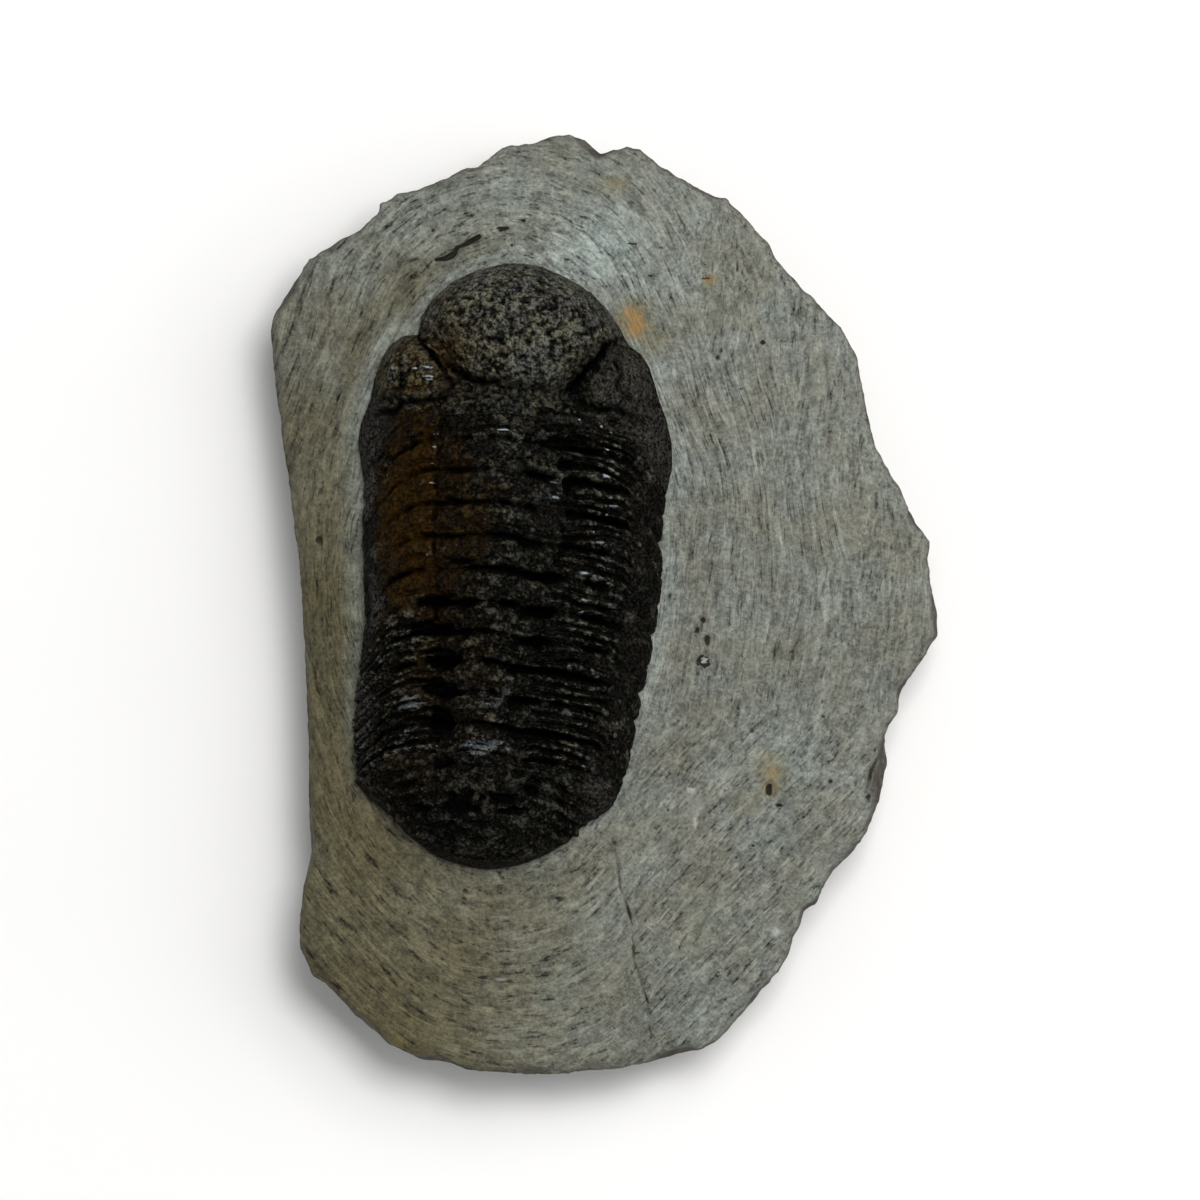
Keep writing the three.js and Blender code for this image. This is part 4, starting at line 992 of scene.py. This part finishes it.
# Small holes and dark specks: x, y, half width, half length and depth.
SPECKS = [
    (12.3, -1.9, 0.4, 0.4, 0.6), (11.6, -3.1, 0.4, 0.4, 0.6), (12.8, -4.4, 0.4, 0.7, 0.7),
    (12.35, -7.05, 0.85, 0.9, 1.0), (-35.6, 8.1, 0.5, 0.6, 0.5), (5.7, 41.1, 0.6, 0.25, 0.6),
    (3.4, 45.1, 0.9, 0.2, 0.6), (7.1, 44.6, 0.35, 0.2, 0.4), (4.1, 37.6, 0.3, 0.2, 0.5),
    (19.8, 32.8, 0.4, 0.35, 0.7), (22.3, 33.0, 0.8, 0.22, 0.6), (14.1, 30.9, 0.3, 0.35, 0.5),
    (14.6, 31.8, 0.2, 0.3, 0.4), (-12.6, 47.0, 0.9, 0.25, 0.6), (-10.1, 48.0, 0.35, 0.25, 0.6),
    (-11.6, 44.9, 0.25, 0.25, 0.5), (-21.4, 46.8, 0.3, 0.25, 0.5), (12.6, 42.5, 0.5, 0.2, 0.6),
    (12.9, 40.8, 0.9, 0.2, 0.7), (16.6, 42.1, 0.2, 0.8, 0.4), (20.6, -23.1, 0.5, 1.0, 0.8),
    (21.9, -25.0, 0.65, 0.32, 0.6), (28.0, -19.6, 0.3, 0.2, 0.5), (18.5, -30.0, 0.4, 0.25, 0.5),
    (-24.4, -38.4, 0.3, 0.25, 0.5), (-34.2, -41.2, 0.25, 0.2, 0.5), (-17.4, -35.6, 0.3, 0.25, 0.4),
    (4.2, -43.4, 0.3, 0.2, 0.4), (-2.9, -50.4, 0.35, 0.25, 0.5), (14.0, -46.4, 0.4, 0.2, 0.4),
    (17.0, 27.0, 0.3, 0.2, 0.4), (15.9, -11.9, 0.15, 0.5, 0.4), (16.6, -12.9, 0.25, 0.35, 0.4),
    (18.4, -15.6, 0.3, 0.35, 0.4), (21.4, -13.8, 0.25, 0.3, 0.4), (27.3, -12.1, 0.3, 0.25, 0.4),
    (27.3, -13.9, 0.25, 0.3, 0.4), (28.3, -22.0, 0.45, 0.35, 0.5), (16.4, -31.5, 0.25, 0.25, 0.4),
    (6.3, -27.8, 0.35, 0.2, 0.4), (32.9, -24.0, 0.5, 0.4, 0.5), (24.4, -29.8, 0.25, 0.2, 0.4),
    (7.9, -25.6, 0.25, 0.2, 0.4), (-12.9, 46.8, 0.4, 0.3, 0.5),
]

# Pale bruises where a tool struck or a white grain shows: x, y, half width, half length and strength.
BRUISES = [
    (12.45, -6.9, 0.3, 0.36, 1.0), (21.3, -40.9, 0.6, 0.6, 0.6), (10.7, -23.1, 0.5, 0.2, 0.8),
    (11.3, -27.2, 0.2, 0.9, 0.6), (14.6, -23.4, 0.2, 0.6, 0.4), (11.0, -25.0, 1.6, 1.6, 0.15),
    (8.6, 28.9, 0.2, 0.5, 0.4), (-13.0, -46.6, 1.0, 0.15, 0.4),
]

# Iron stains: x, y, half width, half length and strength.
STAINS = [
    (3.7, 35.2, 2.8, 3.4, 0.9), (5.4, 33.0, 3.0, 3.0, 0.3), (0.9, 52.5, 3.4, 1.4, 0.45),
    (13.2, 40.6, 1.2, 0.7, 0.8), (20.9, -21.0, 2.4, 2.8, 0.6), (20.7, -22.8, 0.9, 1.3, 0.9),
    (18.0, -25.0, 3.4, 2.0, 0.25), (-26.0, -54.6, 1.6, 0.8, 0.5), (11.8, -39.0, 2.4, 5.0, 0.2),
]

# The line of a band of painted shade between the shell and the upper left edge: it darkens the top's
# colour to olive, and the top is not lowered along it.
SHADE_BAND = [(-15, 44.5), (-22, 41.5), (-28.5, 37.0), (-31.5, 29.5), (-32.5, 20), (-33, 12)]


def reach(outline, middle, direction):
    """How far rays from the middle run before they leave a closed outline: the furthest of each ray's
    crossings with the outline's edges, by the cross product of the two."""
    start = outline - middle
    edge = np.roll(outline, -1, axis=0) - outline
    turn = direction[:, :1] * edge[None, :, 1] - direction[:, 1:] * edge[None, :, 0]
    turn = np.where(np.abs(turn) < 1e-12, 1e-12, turn)
    distance = (start[:, 0] * edge[:, 1] - start[:, 1] * edge[:, 0])[None] / turn
    share = (start[None, :, 0] * direction[:, 1:] - start[None, :, 1] * direction[:, :1]) / turn
    crosses = (distance > 0) & (share >= -1e-6) & (share <= 1 + 1e-6)
    return np.where(crosses, distance, 0).max(1)


def strokes(along, across, length, width, seed, around=10 ** 6):
    """Scribe strokes from 0 to 1: each cell of a lattice holds one short straight stroke, slightly turned,
    and the value is that of the nearest one, a bell curve across it. The lattice closes after that many
    cells along."""
    cell_size = np.array([length, 2.4 * width])
    corner = np.stack([np.floor(along / cell_size[0]), np.floor(across / cell_size[1]), 0 * along], -1)
    best = np.zeros_like(along)
    for step_along in (-1, 0, 1):
        for step_across in (-2, -1, 0, 1, 2):
            cell = corner + np.array([step_along, step_across, 0])
            wrapped = cell * [0, 1, 1]
            wrapped[..., 0] = cell[..., 0] % around
            draws = [scatter(wrapped, seed + k) for k in range(5)]
            run = along - (cell[..., 0] + draws[0]) * cell_size[0]
            off = across - (cell[..., 1] + draws[1]) * cell_size[1]
            turn = 0.7 * (draws[2] - 0.5)
            run, off = run + off * turn, off - run * turn
            half = length * (0.15 + 0.35 * draws[3])
            beyond = np.maximum(0, np.abs(run) - half)
            best = np.maximum(best, draws[4] ** 1.5 * swell(np.hypot(off, beyond), 0.5 * width))
    return best


def stretched_along(finish, angle):
    """Places for a pattern that is stretched along a line at this angle to X."""
    sockets = {"Vector": finish.place, "Rotation": (0, 0, angle), "Scale": (STREAK_STRETCH, 1, 1)}
    return finish.add("Mapping", sockets, vector_type="TEXTURE")


def stone_finish():
    """Grey limestone with a fine speckled grain, and dark dashes and pale streaks along the scribe's path.
    It has an olive cast that is partly painted shade and a bluish cast that is partly painted light, iron
    stains, pale bruises, dark cracks, and a rough dark brown broken edge."""
    finish = Finish("scraped_limestone")
    path = finish.add("Attribute", {}, "Vector", attribute_name="scribe_path")
    grain = finish.noise(0.42, 3, harshness=0.65)
    patch = finish.noise(1.3, 3, harshness=0.6)
    cloud = finish.noise(7, 2)
    fleck = finish.noise(0.5, 3, harshness=0.8)
    wall = finish.mark("wall")
    diagonal, upright = finish.mark("diagonal"), finish.mark("upright")
    elsewhere = finish.minus(1.0, finish.calc("MAXIMUM", diagonal, upright))

    grey = finish.blend(finish.levels(cloud, 0.3, 0.7), tone(109, 109, 99), tone(112, 117, 111))
    # The olive mark is partly painted shade, darkening the left and low side.
    grey = finish.blend(finish.mark("olive_and_shade"), grey, tone(84, 79, 57))
    # The bluish mark is partly painted light: pale patches above the head.
    grey = finish.blend(finish.mark("bluish_and_lit"), grey, tone(140, 150, 146))
    shade = finish.levels(patch, 0.32, 0.68, 0.78, 1.2)
    shade = finish.times(shade, finish.levels(grain, 0.36, 0.64, 0.74, 1.22))
    shade = finish.times(shade, finish.levels(fleck, 0.6, 0.68, 1.0, 0.55))
    lines = relief = 0.0
    runs = [
        (path, elsewhere),
        (stretched_along(finish, STREAK_TURNS["diagonal"]), diagonal),
        (stretched_along(finish, STREAK_TURNS["upright"]), upright),
    ]
    for run, where in runs:
        band = finish.levels(finish.noise(2.0, 1, run), 0.36, 0.64, -0.3, 0.3)
        broad_line = finish.noise(0.6, 2, run, 0.6)
        thin_line = finish.noise(0.42, 2, run, 0.6)
        pale = finish.levels(broad_line, 0.52, 0.66, 0.0, 1.2)
        relief = finish.plus(finish.times(broad_line, where), relief)
        black = finish.levels(thin_line, 0.35, 0.44, 1.5, 0.0)
        line = finish.plus(finish.minus(pale, black), band)
        lines = finish.plus(finish.times(line, where), lines)
    shade = finish.plus(shade, finish.times(lines, 0.34))
    shade = finish.plus(shade, finish.times(finish.mark("scratch"), 0.36))
    shade = finish.minus(shade, finish.times(finish.mark("groove"), 0.32))
    lit = finish.add("CombineXYZ", {0: shade, 1: shade, 2: shade})
    grey = finish.blend(1.0, grey, lit, "MULTIPLY")
    rust = finish.times(finish.mark("rust"), finish.levels(patch, 0.3, 0.6, 0.6, 1.0))
    ochre = finish.blend(finish.levels(rust, 0.25, 0.75), tone(110, 101, 60), tone(146, 113, 62))
    grey = finish.blend(rust, grey, ochre)
    grey = finish.blend(finish.mark("bruise"), grey, tone(176, 180, 176))
    fracture = finish.blend(finish.levels(patch, 0.35, 0.65), tone(62, 58, 50), tone(92, 90, 82))
    fracture = finish.blend(finish.levels(grain, 0.38, 0.6, 0.6, 0.0), fracture, tone(36, 33, 29))
    fracture = finish.blend(finish.levels(cloud, 0.5, 0.65, 0.0, 0.5), fracture, tone(86, 76, 56))
    grey = finish.blend(wall, grey, fracture)
    dark = finish.plus(finish.mark("dark"), finish.times(grain, 0.3))
    grey = finish.blend(finish.levels(dark, 1.0, 1.25), grey, tone(34, 31, 26))

    height = finish.plus(finish.times(relief, 1.6), finish.times(grain, 0.8))
    roughness = finish.levels(grain, 0.3, 0.7, 0.72, 0.9)
    return finish.surface(height, 0.2, **{
        "Base Color": grey, "Roughness": roughness, "Specular IOR Level": 0.25,
    })


def edge_line(part, rows, columns):
    """The points of one edge of a plate's grid, as x and y."""
    return np.stack([part[0][rows, columns], part[1][rows, columns]], -1)


def shell_outline():
    """The shell's outline seen from above, clockwise from the left end of its last joint."""
    forward, backward = slice(None), slice(None, None, -1)
    return np.concatenate([
        *[edge_line(part, backward, 0) for part in thorax[::-1]],
        edge_line(head, forward, 0), edge_line(head, -1, forward), edge_line(head, backward, -1),
        *[edge_line(part, forward, -1) for part in thorax],
        edge_line(tail, forward, -1), edge_line(tail, -1, backward), edge_line(tail, backward, 0),
    ])


def even_edge():
    """Points that lie evenly along the slab's edge, where the rays end that the mesh is built on."""
    loop = np.concatenate([SLAB_EDGE, SLAB_EDGE[:1]])
    run = np.concatenate([[0], np.cumsum(np.hypot(*np.diff(loop, axis=0).T))])
    places = np.linspace(0, run[-1], STONE_RAYS, endpoint=False)
    return np.stack([np.interp(places, run, loop[:, k]) for k in (0, 1)], -1)


def turned(x, y, turn):
    """Places along and across a direction at this angle to X."""
    return x * np.cos(turn) + y * np.sin(turn), -x * np.sin(turn) + y * np.cos(turn)


def scribed(x, y, points, right, low_right):
    """The marks of the scribe: its path as an attribute's vector, raised scratches and cut grooves. The
    path is the turn about the shell from the head and the distance from an ellipse, both of them made to
    wander by clouds."""
    wander_x = x + 1.4 * clouds(points, 15, 661) + 0.2 * clouds(points, 3.5, 663)
    wander_y = y + 1.4 * clouds(points, 15, 667) + 0.2 * clouds(points, 3.5, 669)
    side = (wander_x - SLAB_MIDDLE[0]) / PATH_HALF_WIDTH
    ahead = (wander_y - SLAB_MIDDLE[1]) / PATH_HALF_LENGTH
    turn = np.arctan2(side, ahead)
    off_path = PATH_SPREAD * (np.hypot(side, ahead) - 1)
    radius = PATH_SHARE * PATH_LENGTH / (2 * np.pi)
    path = np.stack([radius * np.cos(turn), radius * np.sin(turn), off_path], -1)

    def round_strokes(length, width, seed):
        """Strokes along the path, whose lattice closes round the shell."""
        cells = round(PATH_LENGTH / length)
        along = (turn / (2 * np.pi) + 0.5) * cells * length
        return strokes(along, off_path, length, width, seed, cells)

    diagonal, upright, leaning = [turned(x, y, angle) for angle in STROKE_TURNS.values()]
    scratch = np.maximum.reduce([
        round_strokes(3.0, 0.42, 671),
        0.8 * low_right * strokes(*diagonal, 2.6, 0.4, 691),
        0.6 * right * strokes(*upright, 2.8, 0.4, 701),
    ])
    groove = np.maximum.reduce([
        round_strokes(2.4, 0.45, 681),
        0.8 * low_right * strokes(*diagonal, 2.2, 0.42, 693),
        0.8 * right * strokes(*upright, 2.4, 0.42, 703),
        0.5 * right * strokes(*leaning, 3.0, 0.42, 713),
    ])
    return path, scratch, groove


def cracked(x, y, points):
    """How deep the cracks are, bell curves added up, and how dark: 1 at a crack's edge, falling to 0 at
    DARK_REACH from it. A shallow crack stays a little below 1 on most of its length."""
    waver, paler = 0.12 * clouds(points, 0.9, 731), 0.16 * clouds(points, 1.4, 735)
    cut, dark = np.zeros_like(x), np.zeros_like(x)
    for half_width, depth, path in CRACKS:
        distance = from_path(x, y, path)[0] + waver
        cut = cut + depth * swell(distance, half_width)
        shade = np.minimum(1 - (distance - half_width) / DARK_REACH, 0.78 + 0.5 * depth + paler)
        dark = np.maximum(dark, shade)
    return cut, dark


def specked(x, y, points):
    """How deep and how dark the small holes are: bell curves with ragged rims."""
    ragged = 0.3 * clouds(points, 0.5, 741)
    cut, dark = np.zeros_like(x), np.zeros_like(x)
    for speck_x, speck_y, half_width, half_length, depth in SPECKS:
        distance = np.hypot((x - speck_x) / half_width, (y - speck_y) / half_length) + ragged
        cut = np.maximum(cut, depth * swell(distance, 1.0))
        shade = np.minimum(1 - (distance - 0.85) * half_width / DARK_REACH, 0.93 + 0.4 * depth)
        dark = np.maximum(dark, shade)
    return cut, dark


def chipped(x, y, points, from_edge):
    """How deep the chips in the edge are, and where they bare broken stone. A chip reaches in from the edge
    by its width at its middle and by less to its sides, and is deepest at the edge."""
    ragged, inner = 0.4 * clouds(points, 1.5, 751), 0.2 * clouds(points, 0.8, 753)
    cut, bare = np.zeros_like(x), np.zeros_like(x)
    for chip_x, chip_y, half_length, width, depth in CHIPS:
        away = np.hypot(x - chip_x, y - chip_y) + ragged
        reached = width * np.clip(1 - (away / (half_length + width)) ** 2, 0, 1)
        chip = soft_step(reached + 0.15, reached - 0.25, from_edge + inner) * (reached > 0.05)
        cut = cut + depth * chip * np.clip(1 - 0.5 * from_edge / width, 0.3, 1)
        bare = np.maximum(bare, chip)
    return cut, bare


def olive_tint_and_painted_shade(x, y, points, from_shell):
    """How olive and how shaded the stone is, on the left and low side and along a band beside the shell:
    partly an olive tint, partly painted shade for the shell's shadow and for the top turned from the light.
    """
    olive_and_shade = soft_step(14, -30, x) * (1 - 0.72 * soft_step(0, 42, y))
    # Painted shade along the band beside the head.
    shade_band = from_path(x, y, SHADE_BAND)[0] + 0.8 * clouds(points, 3, 765)
    olive_and_shade = np.maximum(olive_and_shade, 0.62 * swell(shade_band, 3.2))
    return np.clip(olive_and_shade + 0.14 * clouds(points, 6, 771) - 0.3 * swell(from_shell, 1.6), 0, 1)


def bluish_tint_and_painted_light(x, y, points, from_shell):
    """How blue and pale the stone is: in two patches above the head, partly a bluish tint and partly painted
    light where the top faces the light, and in a thin band round the shell.
    """
    near_head = np.hypot((x + 1.0) / 9, (y - 43) / 6) + 0.2 * clouds(points, 4, 781)
    band = 0.3 * swell(from_shell - 1.0, 1.8) * soft_step(-30, 0, y)
    above = 0.22 * swell(np.hypot((x + 14) / 16, (y - 48) / 6), 1.0)
    return np.maximum.reduce([0.75 * swell(near_head, 1.0), band, above])


def slab_top(direction, ray_length, bed_length, edge):
    """The top as rings from the edge (share 0) in to the shell (share 1), with its marks and the scribe's
    path. It bulges by a power of its share, clouds make it uneven, and strokes, cracks, holes and chips cut
    into it."""
    share = np.linspace(0, 1, STONE_RINGS)[:, None]
    out = between((ray_length, bed_length), share)
    x, y = [SLAB_MIDDLE[k] + direction[:, k] * out for k in (0, 1)]
    from_edge = share * (ray_length - bed_length)
    from_shell = (1 - share) * (ray_length - bed_length)
    points = spread(x, y)
    edge_z = EDGE_Z["left"] - EDGE_Z["drop"] * soft_step(EDGE_Z["from_x"], EDGE_Z["to_x"], edge[:, 0])
    edge_z = edge_z + 0.5 * np.sin(0.16 * edge[:, 1]) + 0.3 * np.sin(0.5 * edge[:, 0] + 0.3 * edge[:, 1])
    z = between((edge_z, RIM_Z), 1 - (1 - share) ** TOP_FULLNESS)
    calm = soft_step(0, 4, from_shell)
    swells = 0.45 * clouds(points, 14, 621) + 0.22 * clouds(points, 6, 631) + 0.1 * clouds(points, 2.6, 641)
    z = z + calm * swells
    z = z - 0.9 * swell(from_edge, 0.8) + 0.25 * clouds(points, 1.6, 651) * swell(from_edge, 2.0)

    right = soft_step(6, 14, x)
    low_right = soft_step(-2, 8, x) * soft_step(-8, -20, y)
    path, scratch, groove = scribed(x, y, points, right, low_right)
    uneven = 0.07 * rough(path, 0.8, 721) + 0.1 * rough(points, 1.1, 723)
    bruise = ellipses(x, y, BRUISES, 0.3, 745)
    crack_cut, crack_dark = cracked(x, y, points)
    speck_cut, speck_dark = specked(x, y, points)
    chip_cut, bare = chipped(x, y, points, from_edge)
    z = z + calm * (uneven + 0.07 * scratch - 0.16 * groove) + 0.25 * bruise
    z = z - crack_cut - speck_cut - chip_cut
    marks = {
        "wall": np.clip(0.8 * swell(from_edge, 0.25) + bare, 0, 1),
        "scratch": scratch,
        "groove": groove,
        "dark": np.maximum(crack_dark, speck_dark) * (1 - bruise),
        "rust": ellipses(x, y, STAINS, 0.3, 761, 1.8, (1.3, 0.1)),
        # Partly painted shade: olive on the left and low side and in a band beside the head.
        "olive_and_shade": olive_tint_and_painted_shade(x, y, points, from_shell),
        # Partly painted light: pale blue patches above the head.
        "bluish_and_lit": bluish_tint_and_painted_light(x, y, points, from_shell),
        "bruise": bruise,
        "diagonal": low_right,
        "upright": 0.8 * right * (1 - low_right) * soft_step(-0.5, 0.3, clouds(points, 9, 785)),
    }
    return np.stack([x, y, z], -1), marks, path


def broken_wall(direction, ray_length, edge, edge_z):
    """The broken wall as rings from the flat base (share 0) up to the edge of the top (share 1): clouds and
    large grains hollow it out, less and less towards its upper edge."""
    share = np.linspace(0, 1, WALL_RINGS + 1)[:-1, None]
    z = share * edge_z
    points = np.stack(np.broadcast_arrays(edge[:, 0], edge[:, 1], z), -1)
    broken = 0.8 * np.abs(clouds(points, 6, 801)) + 0.5 * np.abs(clouds(points, 2.3, 811))
    broken = broken + 0.45 * (1 - grains(points * [1, 1, 1.6], 3.4, 821).clip(0))
    broken = broken + 0.12 * rough(points, 1.1, 831)
    out = ray_length - read(WALL_INSETS, share) - broken * (1 - share ** 8)
    return np.stack([*[SLAB_MIDDLE[k] + direction[:, k] * out for k in (0, 1)], z], -1)


def slab():
    """The whole slab: the wall, the top and the inside of the bed as rings, and a fan each that closes the
    base and the bed's floor about a middle point. The scribe's path becomes an attribute that the material
    reads."""
    edge = even_edge()
    flat_edge = spread(*edge.T)
    ray = edge - SLAB_MIDDLE
    ray_length = np.hypot(*ray.T)
    direction = ray / ray_length[:, None]
    notches = 0.22 * np.abs(clouds(flat_edge, 1.8, 601)) + 0.1 * np.abs(clouds(flat_edge, 0.7, 611))
    ray_length = ray_length - notches
    bed_length = reach(shell_outline(), SLAB_MIDDLE, direction) - BED_OVERLAP
    top, top_marks, path = slab_top(direction, ray_length, bed_length, edge)
    wall = broken_wall(direction, ray_length, edge, top[0, :, 2])
    bed = np.concatenate([top[-1, :, :2], np.full((STONE_RAYS, 1), BED_Z)], -1)[None]

    rings = np.concatenate([wall, top, bed])
    points = np.concatenate([rings.reshape(-1, 3), [[*SLAB_MIDDLE, 0.0], [*SLAB_MIDDLE, BED_Z]]])
    index = np.arange(rings.shape[0] * STONE_RAYS).reshape(rings.shape[0], STONE_RAYS)
    closed = np.concatenate([index, index[:, :1]], 1)
    base_middle, bed_middle = len(points) - 2, len(points) - 1
    fans = [[base_middle, a, b] for a, b in zip(closed[0, 1:], closed[0, :-1])]
    fans += [[bed_middle, a, b] for a, b in zip(closed[-1, :-1], closed[-1, 1:])]
    marks = {}
    for mark, values in top_marks.items():
        below = np.full((WALL_RINGS, STONE_RAYS), 1.0 if mark == "wall" else 0.0)
        marks[mark] = np.concatenate([below.ravel(), values.ravel(), values[-1], [0.0, 0.0]])
    stone = solid("matrix", points, grid_faces(closed), fans, marks, stone_finish())

    path = np.concatenate([np.repeat(path[:1], WALL_RINGS, 0), path, path[-1:]]).reshape(-1, 3)
    path = np.concatenate([path, np.zeros((2, 3))]) * MM
    attribute = stone.data.attributes.new("scribe_path", "FLOAT_VECTOR", "POINT")
    attribute.data.foreach_set("vector", path.astype(np.float32).ravel())
    return stone


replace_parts(slab(), "matrix")


# The stage
# A plain pale floor under the slab, soft light from the upper right, and the camera straight above.

FLOOR_SIDE = 4.0
VIEW_MIDDLE = (-0.56 * MM, 0.63 * MM)
VIEW_WIDTH, VIEW_Z, CAMERA_Z = 0.150, 0.017, 1.6  # the view is this wide at the height of VIEW_Z
SENSOR_MM = 36.0
SKY_STRENGTH = 0.3
LAMP_TARGET = (-0.005, 0.0, 0.02)

# Square lamps: name, place, side, power and colour.
LAMPS = [
    ("key", (0.13, 0.20, 1.0), 0.3, 5.0, (1.0, 0.99, 0.97)),
    ("large_soft_light", (0.25, 0.30, 0.95), 0.6, 3.6, (1.0, 0.99, 0.97)),
    ("right_fill", (0.90, 0.10, 0.55), 1.0, 3.6, (1.0, 1.0, 1.0)),
    ("left_fill", (-0.80, 0.0, 0.7), 0.8, 0.9, (0.97, 0.99, 1.0)),
]


def stage():
    """The floor, the lights, the surroundings and the camera."""
    mesh = bpy.data.meshes.new("floor")
    side = FLOOR_SIDE / 2
    corners = [(-side, -side, 0), (side, -side, 0), (side, side, 0), (-side, side, 0)]
    mesh.from_pydata(corners, [], [(0, 1, 2, 3)])
    finish = Finish("pale_floor")
    speck = finish.noise(30, 2)
    colour = finish.blend(speck, (0.88, 0.88, 0.88, 1), (0.9, 0.9, 0.895, 1))
    mesh.materials.append(finish.surface(speck, 0.001, **{"Base Color": colour, "Roughness": 0.9}))
    floor = bpy.data.objects.new("floor", mesh)
    bpy.context.scene.collection.objects.link(floor)

    world = bpy.data.worlds.new("studio")
    world.use_nodes = True
    background = world.node_tree.nodes["Background"]
    background.inputs["Color"].default_value = (1.0, 1.0, 1.0, 1)
    background.inputs["Strength"].default_value = SKY_STRENGTH
    bpy.context.scene.world = world

    for name, place, size, power, colour in LAMPS:
        lamp = bpy.data.lights.new(name, "AREA")
        lamp.shape = "SQUARE"
        lamp.size = size
        lamp.energy = power
        lamp.color = colour
        holder = bpy.data.objects.new(name, lamp)
        holder.location = place
        aim = np.array(LAMP_TARGET) - np.array(place)
        holder.rotation_euler = Vector(aim.tolist()).to_track_quat("-Z", "Y").to_euler()
        holder.visible_camera = False
        bpy.context.scene.collection.objects.link(holder)

    lens = bpy.data.cameras.new("camera")
    lens.sensor_width = SENSOR_MM
    lens.lens = SENSOR_MM * (CAMERA_Z - VIEW_Z) / VIEW_WIDTH
    lens.clip_start, lens.clip_end = 0.01, 20.0
    camera = bpy.data.objects.new("camera", lens)
    camera.location = (*VIEW_MIDDLE, CAMERA_Z)
    bpy.context.scene.collection.objects.link(camera)
    bpy.context.scene.camera = camera
    bpy.context.scene.view_settings.view_transform = "Standard"


stage()
